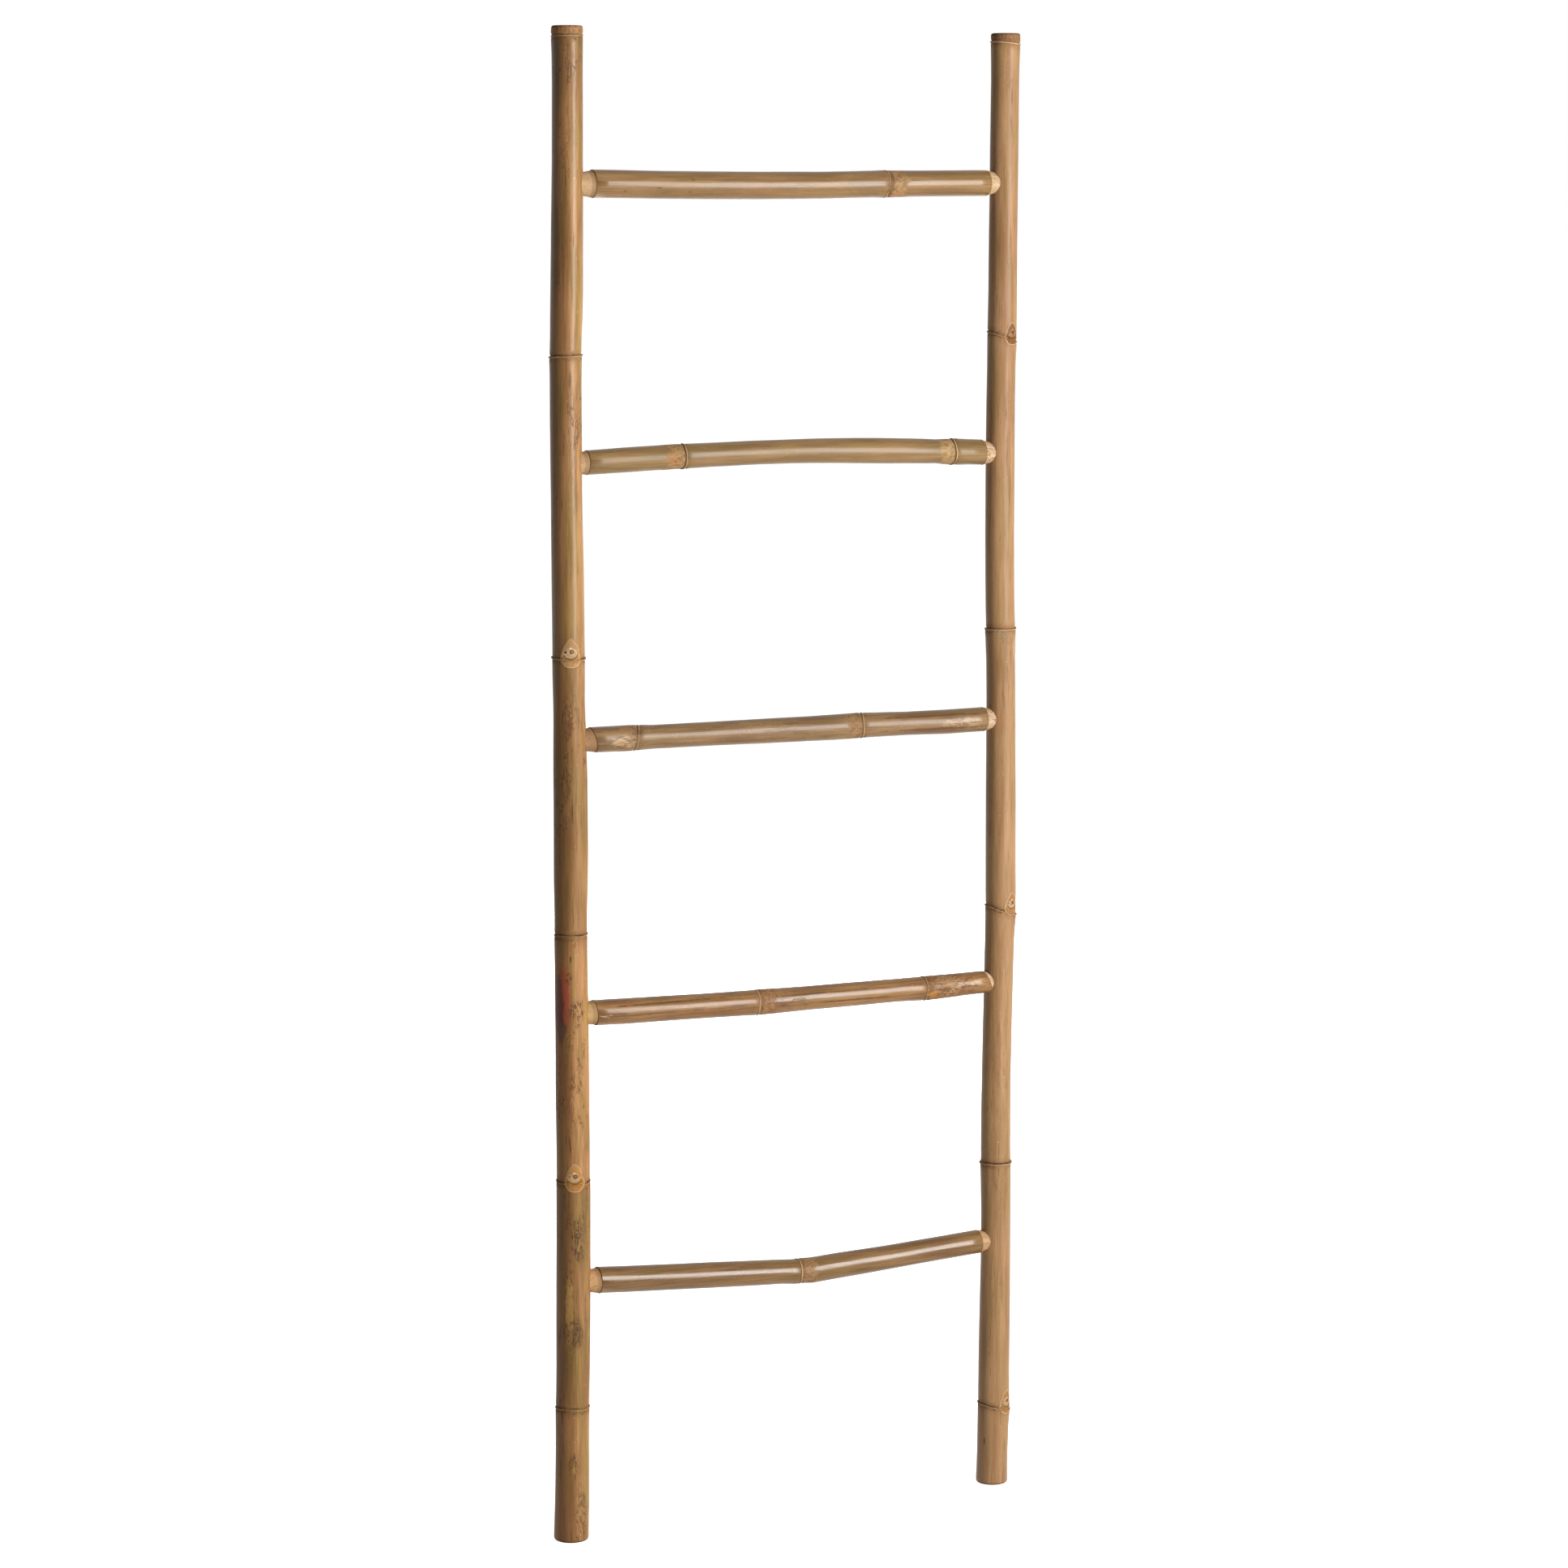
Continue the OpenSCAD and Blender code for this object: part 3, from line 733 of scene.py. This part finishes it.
def fibre_material(name, flesh, shift, turn, stops=(), far_flesh=None, speckle=0.6):
    """Bare fibre, as saw and knife leave it: pale flesh with dark dots that turn into dashes along the culm, of another
    tone at the far end. Next to each stop of the skin it is browner, over the width of its rim, with a dark line at the
    stop; both are partly the fibre's own darker tone and partly a painted shadow of the skin's edge."""
    material, tree, shader = new_material(name)
    place = place_of(tree, shift, turn)
    x, _, z = parts(place)
    dots = clouds(drawn(place, 0.3), 700, 2, 0.5)
    broad = clouds(drawn(place, 0.2), 180, 3, 0.6)
    if far_flesh:
        flesh = mix(step(z, -0.01, 0.01), flesh, far_flesh)
    shade = mix(step(broad, 0.35, 0.65), (0.84, 0.78, 0.66, 1), (1, 1, 1, 1))
    colour = mix(1.0, shade, flesh, "MULTIPLY")
    colour = mix(step(dots, 0.57, 0.68, 0.0, speckle), colour, paint(128, 88, 52))
    for stop, slant, sway, r, rim in stops:
        leant = times(minus(x, sway * MM), slant / 2 / r)
        h = minus(minus(z, leant), stop * MM)
        h = times(h, 1000.0)
        # painted shadow: the browner rim and the dark line by each stop stand partly for the darker outer fibre and
        # partly for the shadow of the skin's edge
        colour = mix(times(stripe(h, 0.0, rim, 1.0), 0.6), colour, paint(148, 110, 70))
        colour = mix(times(stripe(h, 0.0, 0.5, 0.9), 0.85), colour, paint(84, 54, 30))
    feed(shader.inputs["Base Color"], colour)
    feed(shader.inputs["Roughness"], plus(times(dots, 0.3), 0.45))
    roughen(shader, plus(times(dots, -0.6), broad), 0.6, RELIEF_DEPTH)
    shader.inputs["Specular IOR Level"].default_value = 0.3
    return material


def finish_culm(culm, materials, node):
    """Puts on the materials, shades the skin smooth up to its sharp edges and hands the piece to the frame."""
    for n, material in enumerate(materials):
        culm.data.materials[n] = material
    pick(culm)
    bpy.ops.object.shade_smooth_by_angle(angle=math.radians(50))
    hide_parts(node)
    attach(culm, "root")


bench_materials = [bpy.data.materials.new(name) for name in ("bench skin", "bench fibre")]


def with_slots(shape):
    """Gives a shape its two slots, skin and bare fibre, which finish_culm fills."""
    for material in bench_materials:
        shape.data.materials.append(material)
    return shape


nail_drill = with_slots(nail_drills())


def make_rail(name, side, skin, knots, buds, seed):
    rail = with_slots(grow_culm(name, rail_rows(skin, knots)))
    paint_ends(rail, skin)
    shape_skin(rail, skin, knots, buds, seed=seed)
    lay(rail, (RAIL_AXIS if side else -RAIL_AXIS, 0, 0))
    drill = with_slots(rung_drills(side, rung_skins))
    bore(rail, drill)
    bpy.data.objects.remove(drill)
    bore(rail, nail_drill)
    return rail


left_rail = make_rail("bamboo_left_rail", 0, left_skin, left_knots, left_buds, 0.0)
left_shift = (RAIL_AXIS, 0, 0)
soot, ochre, red = paint(70, 43, 20), paint(178, 138, 74), paint(156, 56, 40)
# Stains, each at its place from the rail's foot axis, with its reach, colour, share, loops and grain.
left_stains = [
    # the red smudge beside the fourth rung, over a darker bruise, which at the rail's left side is partly a stain and
    # partly painted shade
    ((-17, -12, 690), (13, 16, 46), paint(132, 74, 46), 0.5, 0, 110),
    ((-16, -13, 704), (9, 12, 42), red, 0.55, 0, 120),
    ((-21, -6, 690), (8, 12, 50), paint(60, 24, 16), 0.75, 0, 130),
    ((-18, -11, 662), (7, 10, 20), paint(56, 32, 22), 0.6, 0, 170),
    # scribbles of a dark mould beside it and over it
    ((-1, -20, 684), (11, 9, 17), soot, 0.9, 1, 230),
    ((-10, -18, 729), (5, 6, 9), soot, 0.8, 1, 150),
    ((-3, -20, 593), (9, 8, 14), soot, 0.55, 1, 260),
    ((9, -19, 637), (5, 8, 16), soot, 0.5, 1, 260),
    # chains of it higher up, and a long one low down with ochre streaks between
    ((-8, -18, 1060), (12, 10, 30), soot, 0.6, 1, 190),
    ((-11, -18, 1005), (6, 8, 46), soot, 0.7, 1, 170),
    ((-13, -16, 972), (6, 8, 24), soot, 0.6, 1, 200),
    ((-1, -20, 391), (9, 8, 34), soot, 0.8, 1, 190),
    ((-12, -17, 312), (7, 8, 60), soot, 0.85, 1, 150),
    ((-11, -18, 300), (5, 8, 50), ochre, 0.6, 0, 260),
    ((-6, -20, 274), (13, 12, 22), paint(82, 54, 30), 0.35, 0, 260),
    ((-5, -20, 274), (12, 10, 20), soot, 0.8, 1, 240),
    # an old scar near the foot and the streaks that run down from it
    ((-7, -20, 100), (7, 6, 17), soot, 0.9, 1, 220),
    ((-7, -20, 98), (3, 5, 9), ochre, 0.4, 0, 300),
    ((2, -20, 40), (9, 8, 38), soot, 0.6, 1, 200),
    # small marks by the knots
    ((-3.2, -20.2, 770.5), (2.4, 5, 4), paint(148, 78, 48), 0.9, 1, 300),
    ((-8.3, -19, 753), (1.2, 3, 6), soot, 0.8, 0, 300),
    ((4.3, -20.4, 168.3), (1.5, 3, 1.5), soot, 0.8, 0, 300),
    ((-6.6, -19.7, 1472), (2.2, 4, 13), soot, 0.6, 0, 200),
]
left_material = skin_material(
    "Brown culm skin", paint(184, 138, 90), paint(138, 98, 54), paint(74, 48, 24), (0.75, 1.1, 0.85, 0.85, 0.5),
    left_knots, left_buds, left_stains, left_shift, (0, 0, 0), gloss=0.20, shine=0.25,
    fades=[(1740, 1890, (0.74, 0.71, 0.68, 1), 0.0), (1200, 1000, (0.80, 0.77, 0.72, 1), 0.2),
           (785, 750, (1.32, 1.30, 1.38, 1), 0.0), (475, 455, (0.76, 0.77, 0.72, 1), 0.0),
           (180, 160, (1.18, 1.18, 1.26, 1), 0.0),
           (1896, 1898.5, (0.5, 0.44, 0.38, 1), 0.5), (4, 1, (0.5, 0.42, 0.34, 1), 0.5)],
    # painted shade on the rail's left side, away from the key lamp
    painted_side_shade=((-14, -2), (0.62, 0.56, 0.50, 1)),
)
left_fibre = fibre_material("Brown culm fibre", paint(196, 158, 112), left_shift, (0, 0, 0))
finish_culm(left_rail, [left_material, left_fibre], "left_rail")

# Right rail: the lighter, slightly thinner culm, grown and bored as the left one. Its rings dip towards their buds.
right_skin = [
    (0, -0.7, 42.0), (23, -0.5, 41.3), (45, -0.2, 40.9), (77, 0.4, 41.3), (92, 0.9, 42.0), (125, 1.1, 41.5),
    (160, 0.9, 41.1), (210, 1.1, 40.8), (262, 1.5, 40.1), (300, 1.7, 39.1), (370, 1.5, 39.1), (412, 0.8, 39.8),
    (455, 0.2, 39.1), (500, -0.1, 39.0), (550, 0.2, 38.4), (620, 1.0, 38.4), (690, 2.2, 38.7), (730, 2.9, 38.9),
    (757, 3.7, 40.0), (798, 3.9, 39.6), (823, 3.6, 39.3), (862, 3.1, 39.1), (940, 2.5, 38.7), (977, 2.1, 38.1),
    (1060, 1.2, 37.6), (1100, 0.5, 37.4), (1128, -0.1, 39.0), (1165, -0.9, 37.6), (1206, -1.9, 37.5),
    (1257, -2.6, 37.3), (1345, -3.1, 37.5), (1430, -3.2, 36.9), (1480, -2.8, 36.6), (1498, -2.5, 37.2),
    (1544, -2.1, 37.4), (1580, -2.0, 36.8), (1640, -2.0, 36.5), (1760, -1.7, 36.2), (1840, -1.4, 35.9),
    (1864, -1.3, 36.5), (1877, -1.3, 37.2), (1894, -1.3, 37.4), (1900, -1.3, 37.2),
]
right_knots = [
    (105, 1.2, 42.2, 44.3, 41.4, -4.0, 1.8, 0.5, 0.8, 0.35, -2.8),
    (435, 0.5, 40.1, 43.6, 39.0, 0.8, 0.4, 0.6, 0.8, 0.5, -3.6),
    (772, 4.1, 40.5, 42.9, 39.5, -5.6, 2.6, 0.4, 0.8, 0.35, -2.4),
    (1141, -0.2, 39.7, 41.9, 37.5, 1.0, 0.6, 0.5, 0.55, 0.6, -3.0),
    (1517, -2.3, 37.6, 40.0, 37.2, -5.8, 2.6, 0.4, 0.7, 0.4, -3.0),
    (1888, -1.3, 37.4, 39.4, 37.3, -1.4, 0.6, 0.3, 0.2, 0.7, -2.4, 13, 0.8, paint(134, 98, 68)),
]
right_buds = [
    (108, 28, 0.9, 0.1, 0.1, (0.80, 0.72, 0.62, 1)), (777, 21, 0.85, 0.1, 0.1, (0.82, 0.72, 0.64, 1)),
    (1517, 18, 0.8, 0.2, 0.1, (0.52, 0.42, 0.36, 1)),
    (435, -158, 0.8, 0.4, 0.3), (1141, -162, 0.8, 0.4, 0.3),
]
right_rail = make_rail("bamboo_right_rail", 1, right_skin, right_knots, right_buds, 5.3)
right_shift = (-RAIL_AXIS, 0, 0)
right_stains = [
    ((-17, -9, 59), (1.4, 3, 7), paint(70, 44, 24), 0.8, 0, 300),
    ((-9, -17, 1135), (14, 8, 6), paint(150, 130, 104), 0.5, 0, 200),
    ((-10, -16, 431), (8, 8, 3), paint(120, 78, 46), 0.7, 1, 200),
    ((-8, -17, 1560), (9, 9, 26), paint(150, 112, 84), 0.35, 0, 120),
    ((2, -18, 1129), (18, 12, 10), paint(112, 80, 52), 0.5, 1, 240),
    ((14, -12, 1122), (6, 8, 20), paint(216, 180, 144), 0.5, 1, 150),
    ((2, -18, 425), (18, 12, 9), paint(126, 88, 54), 0.4, 1, 240),
]
right_material = skin_material(
    "Tan culm skin", paint(171, 131, 92), paint(144, 106, 69), paint(112, 75, 46), (0.35, 0.9, 0.85, 0.35, 0.4),
    right_knots, right_buds, right_stains, right_shift, (0, 0, 0), gloss=0.28, shine=0.22,
    fades=[(1896, 1898.5, (0.55, 0.5, 0.45, 1), 0.5), (4, 1, (0.5, 0.42, 0.34, 1), 0.5)],
)
right_fibre = fibre_material("Tan culm fibre", paint(190, 154, 110), right_shift, (0, 0, 0))
finish_culm(right_rail, [right_material, right_fibre], "right_rail")

# Rungs: five short culms laid across, from the top down. Each end is whittled to a cone of bare fibre that goes
# on as a straight tenon into the rail, past its axis.
rung_knots = [
    [(129, 0.9, 34.3, 35.2, 33.6, 0.5, 0.0, 1.6, 0.5, 0.7, 4.5, 26, 0.75, paint(166, 130, 88))],
    [(-149, -6.9, 31.2, 32.9, 30.8, 0.6, 0.4, 0.8, 0.5, 0.6, -3.0, 25, 0.75, paint(168, 130, 86)),
     (226, -4.0, 33.6, 34.9, 32.6, 0.4, 0.2, 0.6, 0.4, 0.8, -2.5, 19, 0.8, paint(180, 146, 100))],
    [(-212, -1.0, 31.6, 32.6, 32.2, 3.0, -3.0, 0.6, 0.7, 0.5, 8.0, 24, 0.5, paint(158, 122, 84)),
     (100, -1.0, 32.2, 33.6, 32.6, 0.5, -3.0, 0.6, 0.6, 0.8, 6.0, 22, 0.75, paint(152, 116, 78))],
    [(-46, 4.1, 32.6, 33.6, 32.9, 0.5, 1.0, 0.6, 0.6, 0.7, 22.0, 24, 0.8, paint(148, 108, 70)),
     (192, 4.0, 31.4, 33.0, 31.9, 0.5, 0.6, 0.9, 0.5, 0.4, 5.0, 48, 0.75, paint(146, 106, 66))],
    [(14, 18.4, 32.4, 33.7, 32.4, 0.4, 0.6, 0.6, 0.5, 0.8, 19.0, 22, 0.8, paint(152, 116, 76))],
]
rung_buds = [
    [(129, 165, 0.6, 0.4, 0.3)], [(-149, -170, 0.5, 0.5, 0.3), (226, 150, 0.5, 0.5, 0.3)],
    [(100, 160, 0.5, 0.4, 0.3)], [(-46, 150, 0.5, 0.4, 0.3), (192, -150, 0.6, 0.6, 0.3)], [(14, 160, 0.5, 0.5, 0.3)],
]
rung_growth = [1, -1, -1, 1, 1]
# Light and dark paint of each rung's skin, its looks, and its gloss.
rung_paints = [
    (paint(152, 116, 74), paint(124, 92, 54), (0.3, 0.8, 0.35, 0.15, 0.3), 0.14),
    (paint(150, 117, 75), paint(122, 94, 58), (0.4, 0.8, 0.4, 0.2, 0.3), 0.20),
    (paint(150, 117, 80), paint(110, 80, 50), (0.35, 1.1, 0.85, 0.6, 0.5), 0.18),
    (paint(162, 120, 74), paint(106, 71, 38), (0.2, 1.2, 1.0, 0.85, 0.4), 0.12),
    (paint(140, 105, 66), paint(108, 76, 42), (0.4, 0.9, 0.4, 0.3, 0.3), 0.08),
]
# Bare fibre of each rung's left and right end, and how speckled it is.
rung_fleshes = [
    (paint(196, 162, 126), paint(194, 168, 134), 0.5), (paint(186, 154, 120), paint(194, 168, 136), 0.9),
    (paint(158, 122, 90), paint(194, 166, 138), 1.0), (paint(190, 156, 106), paint(200, 170, 142), 0.3),
    (paint(194, 152, 106), paint(184, 148, 110), 0.8),
]
dusk, clay, cream = paint(84, 54, 28), paint(170, 110, 58), paint(208, 178, 138)
rung_stains = [
    [((10, -13, -230), (1.2, 4, 3), dusk, 0.7, 0, 300), ((6, -16, -186), (1.2, 4, 4), dusk, 0.7, 0, 300),
     ((11, -12, -144), (1.2, 4, 4), dusk, 0.7, 0, 300), ((-6, -16, -140), (5, 5, 3), dusk, 0.4, 1, 200),
     ((13, -10, 142), (5, 8, 12), clay, 0.4, 0, 200), ((-5, -15, 142), (8, 8, 11), dusk, 0.45, 1, 260),
     ((3, -16, 98), (20, 16, 30), paint(106, 78, 52), 0.35, 0, 260),
     ((3, -16, 132), (18, 16, 5), dusk, 0.5, 0, 240)],
    [((-2, -16, -164), (1.5, 3, 1.5), dusk, 0.9, 0, 300), ((-5, -15, -160), (1.5, 3, 1.5), dusk, 0.9, 0, 300),
     ((-5, -15, -166), (12, 9, 8), clay, 0.35, 0, 240)],
    [((2, -16, -235), (9, 7, 16), cream, 0.55, 0, 200), ((2, -16, -235), (9, 7, 17), dusk, 0.7, 1, 170),
     ((2, -16, -236), (3, 5, 7), clay, 0.4, 0, 240), ((-7, -14, -258), (3, 5, 12), cream, 0.8, 1, 90),
     ((-10, -12, 195), (1.6, 4, 85), dusk, 0.7, 0, 200), ((7, -14, 205), (2, 4, 75), dusk, 0.7, 0, 200),
     ((1, -16, 240), (7, 6, 34), cream, 0.35, 1, 220), ((-8, -13, -214), (6, 7, 10), dusk, 0.7, 1, 150)],
    [((-11, -12, -240), (2, 6, 34), paint(136, 88, 58), 0.6, 0, 260),
     ((3, -16, -255), (2, 4, 12), cream, 0.6, 1, 120), ((-8, -14, -160), (1.4, 4, 110), dusk, 0.75, 0, 200),
     ((4, -16, -190), (1.3, 4, 80), dusk, 0.6, 0, 200),
     ((7, -14, -110), (1.6, 4, 60), paint(136, 88, 50), 0.7, 0, 200),
     ((-4, -16, 60), (1.4, 4, 90), dusk, 0.6, 0, 200),
     ((0, -14, 252), (18, 16, 34), paint(140, 100, 60), 0.4, 0, 120),
     ((9, -13, 201), (4, 8, 12), paint(178, 120, 54), 0.9, 0, 220),
     ((-1, -16, 265), (5.5, 6, 11), paint(168, 130, 94), 0.7, 0, 90),
     ((-1, -16, 265), (6.5, 6, 13), cream, 0.4, 1, 90),
     ((0, -14, 230), (18, 16, 40), paint(92, 56, 30), 0.8, 1, 190),
     ((0, -14, 222), (18, 16, 22), cream, 0.3, 1, 240), ((-8, -14, 20), (1.2, 4, 60), dusk, 0.8, 0, 200),
     ((8, -14, 100), (1.4, 4, 70), dusk, 0.75, 0, 200), ((1, -16, -250), (1.2, 4, 20), dusk, 0.7, 0, 260)],
    [((34, -8, 24), (6, 10, 4), dusk, 0.5, 0, 200), ((3, -16, -160), (1.0, 4, 110), dusk, 0.5, 0, 200)],
]
# The tip of a rung, from the room inside it to the tenon's side: distance from the rail's axis and radius.
tip_profile = [(44, 1), (44, 9.4), (1 - PAST_AXIS, 9.4), (-PAST_AXIS, 10.0), (-PAST_AXIS, TENON - 0.6),
               (0.6 - PAST_AXIS, TENON)]


def rung_end(full, way, joint, nominal, stop, r_skin):
    """Rows of a rung's whittled end, from the room inside it over its tip to the skin. Way: 1 left and -1 right."""
    x, z = joint
    slope_start = end_rows(stop, r_skin, stop, 0)[1][0]
    end = full[0] if way > 0 else full[-1]
    slope = (end[1] - between(full, 0, 1)) / abs(end[0])
    profile = tip_profile + [(slope_start, TENON)]
    for t in (0.25, 0.5, 0.75, 0.97):
        profile.append((slope_start + (stop - slope_start) * t, TENON + (r_skin - 0.5 - TENON) * t))
    profile.append((stop - 0.25, r_skin - 0.2))
    return [(x + way * d, nominal - z - slope * d, r) for d, r in profile]


for n in range(5):
    nominal = rung_heights[n]
    growth = rung_growth[n]
    knots = rung_knots[n]
    buds = rung_buds[n]
    left_joint, right_joint = joints[n]
    (left_stop, left_slant), (right_stop, right_slant) = skin_stops[n]
    full = [(x, -rise, d) for x, rise, d in rung_skins[n]]
    low, high = left_joint[0] + left_stop, right_joint[0] - right_stop
    skin = [row for row in full if low + 3 < row[0] < high - 3]
    skin = [(low, between(full, low, 1), full[0][2])] + skin + [(high, between(full, high, 1), full[-1][2])]
    rows = [(h, s, d / 2) for h, s, d in skin_rows(skin, knots, growth)]
    left_end = rung_end(full, 1, left_joint, nominal, left_stop, skin[0][2] / 2)
    right_end = rung_end(full, -1, right_joint, nominal, right_stop, skin[-1][2] / 2)
    rung = with_slots(grow_culm(f"bamboo_rung_{n + 1}", left_end + rows + right_end[::-1]))
    paint_ends(rung, skin, low - 0.1, high + 0.1)
    shape_skin(rung, skin, knots, buds, growth, seed=9.1 + 3 * n)
    stops = [(low, left_slant, skin[0][1], skin[0][2] / 2, 6),
             (high, -right_slant, skin[-1][1], skin[-1][2] / 2, 0.8)]
    for vertex in rung.data.vertices:
        for stop, slant, sway, r, rim in stops:
            near = ease(1.2 - abs(vertex.co.z / MM - stop) / 14)
            vertex.co.z += near * slant / 2 * (vertex.co.x - sway * MM) / r
    lay(rung, (0, 0, nominal * MM), (0, math.radians(90), 0))
    bore(rung, nail_drill)
    light, dark, looks, gloss = rung_paints[n]
    shift, turn = (nominal * MM, 0, 0), (0, math.radians(-90), 0)
    material = skin_material(
        f"Olive culm skin {n + 1}", light, dark, paint(92, 64, 38), looks, knots, buds, rung_stains[n], shift, turn,
        growth, gloss=gloss, shine=0.25, relief=0.25)
    flesh, far_flesh, speckle = rung_fleshes[n]
    fibre = fibre_material(f"Whittled fibre {n + 1}", flesh, shift, turn, stops, far_flesh, speckle)
    finish_culm(rung, [material, fibre], f"rung_{n + 1}")

bpy.data.objects.remove(nail_drill)

# Nails: ten wire nails through the joints from behind. The CAD solids stay and get worn bright steel.
material, tree, shader = new_material("Nail steel")
coordinates = tree.nodes.new("ShaderNodeTexCoord")
worn = clouds(coordinates.outputs["Object"], 900, 4, 0.6)
steel = mix(step(worn, 0.5, 0.7), (0.46, 0.45, 0.44, 1), (0.22, 0.15, 0.10, 1))
feed(shader.inputs["Base Color"], steel)
feed(shader.inputs["Roughness"], step(worn, 0.35, 0.7, 0.25, 0.6))
shader.inputs["Metallic"].default_value = 1.0
roughen(shader, worn, 1.0, 0.0001)
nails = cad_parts["joint_nails"]
nails.data.materials.clear()
nails.data.materials.append(material)

# Studio: a plain pale floor under a white surround, a large soft lamp to the right of the camera, a weak fill all
# round and a second lamp that lights the side away from the camera. Far from the feet the floor turns pure white.
def seen_rays(tree):
    """1 for what the camera sees, straight or in a gloss, and 0 for the light that falls on the ladder."""
    rays = tree.nodes.new("ShaderNodeLightPath").outputs
    seen = calc("MAXIMUM", rays["Is Camera Ray"], rays["Is Glossy Ray"])
    return calc("MAXIMUM", seen, rays["Is Transmission Ray"])


bpy.ops.object.select_all(action="DESELECT")
bpy.ops.mesh.primitive_plane_add(size=200, location=(0, 0, 0))
floor = bpy.context.object
floor.name = "studio_floor"
material, tree, shader = new_material("Pale floor")
shader.inputs["Base Color"].default_value = (0.8, 0.8, 0.8, 1)
shader.inputs["Roughness"].default_value = 1.0
shader.inputs["Specular IOR Level"].default_value = 0.0
seen = seen_rays(tree)
coordinates = tree.nodes.new("ShaderNodeTexCoord")
far = step(vector("LENGTH", coordinates.outputs["Object"]), 0.6, 1.6)
white = mix(far, (0.86, 0.86, 0.86, 1), (1, 1, 1, 1))
feed(shader.inputs["Emission Color"], mix(seen, (0, 0, 0, 1), white))
shader.inputs["Emission Strength"].default_value = 1.0
floor.data.materials.append(material)
floor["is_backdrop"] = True

world = bpy.data.worlds.new("Studio surround")
bpy.context.scene.world = world
world.use_nodes = True
tree = world.node_tree
surround = tree.nodes["Background"]
surround.inputs["Color"].default_value = (1, 1, 1, 1)
feed(surround.inputs["Strength"], step(seen_rays(tree), 0.0, 1.0, 0.12, 1.0))


def hang_lamp(name, place, aim, width, height, power):
    lamp = bpy.data.lights.new(name, "AREA")
    lamp.shape, lamp.size, lamp.size_y, lamp.energy = "RECTANGLE", width, height, power
    holder = bpy.data.objects.new(name, lamp)
    bpy.context.collection.objects.link(holder)
    holder.location = place
    holder.rotation_euler = (Vector(aim) - Vector(place)).to_track_quat("-Z", "Y").to_euler()
    return holder


hang_lamp("key lamp", (2.0, -4.0, 1.9), (0, 0, 1.0), 0.9, 2.8, 270)
hang_lamp("back lamp", (1.9, 4.1, 1.9), (0, 0, 1.0), 1.5, 2.8, 150).visible_glossy = False

camera = bpy.data.objects.new("camera", bpy.data.cameras.new("camera"))
bpy.context.collection.objects.link(camera)
# The camera was fitted to the photograph: its focal length and the picture's side in the picture's pixels.
FOCAL, PICTURE, SENSOR = 5348, 1932, 36
camera.data.sensor_width = SENSOR
camera.data.lens = FOCAL / PICTURE * SENSOR
yaw, pitch, roll = (math.radians(a) for a in (24.628, 8.029, -0.173))
ahead = Vector((math.sin(yaw) * math.cos(pitch), math.cos(yaw) * math.cos(pitch), -math.sin(pitch)))
right = Vector((math.cos(yaw), -math.sin(yaw), 0))
down = ahead.cross(right)
right, down = right * math.cos(roll) + down * math.sin(roll), down * math.cos(roll) - right * math.sin(roll)
aim = Matrix((right, -down, -ahead)).transposed().to_4x4()
camera.matrix_world = Matrix.Translation((-2.28495, -4.9673, 1.725)) @ aim
camera.data.clip_end = 1000
bpy.context.scene.camera = camera
bpy.context.scene.view_settings.view_transform = "Standard"

low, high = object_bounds()
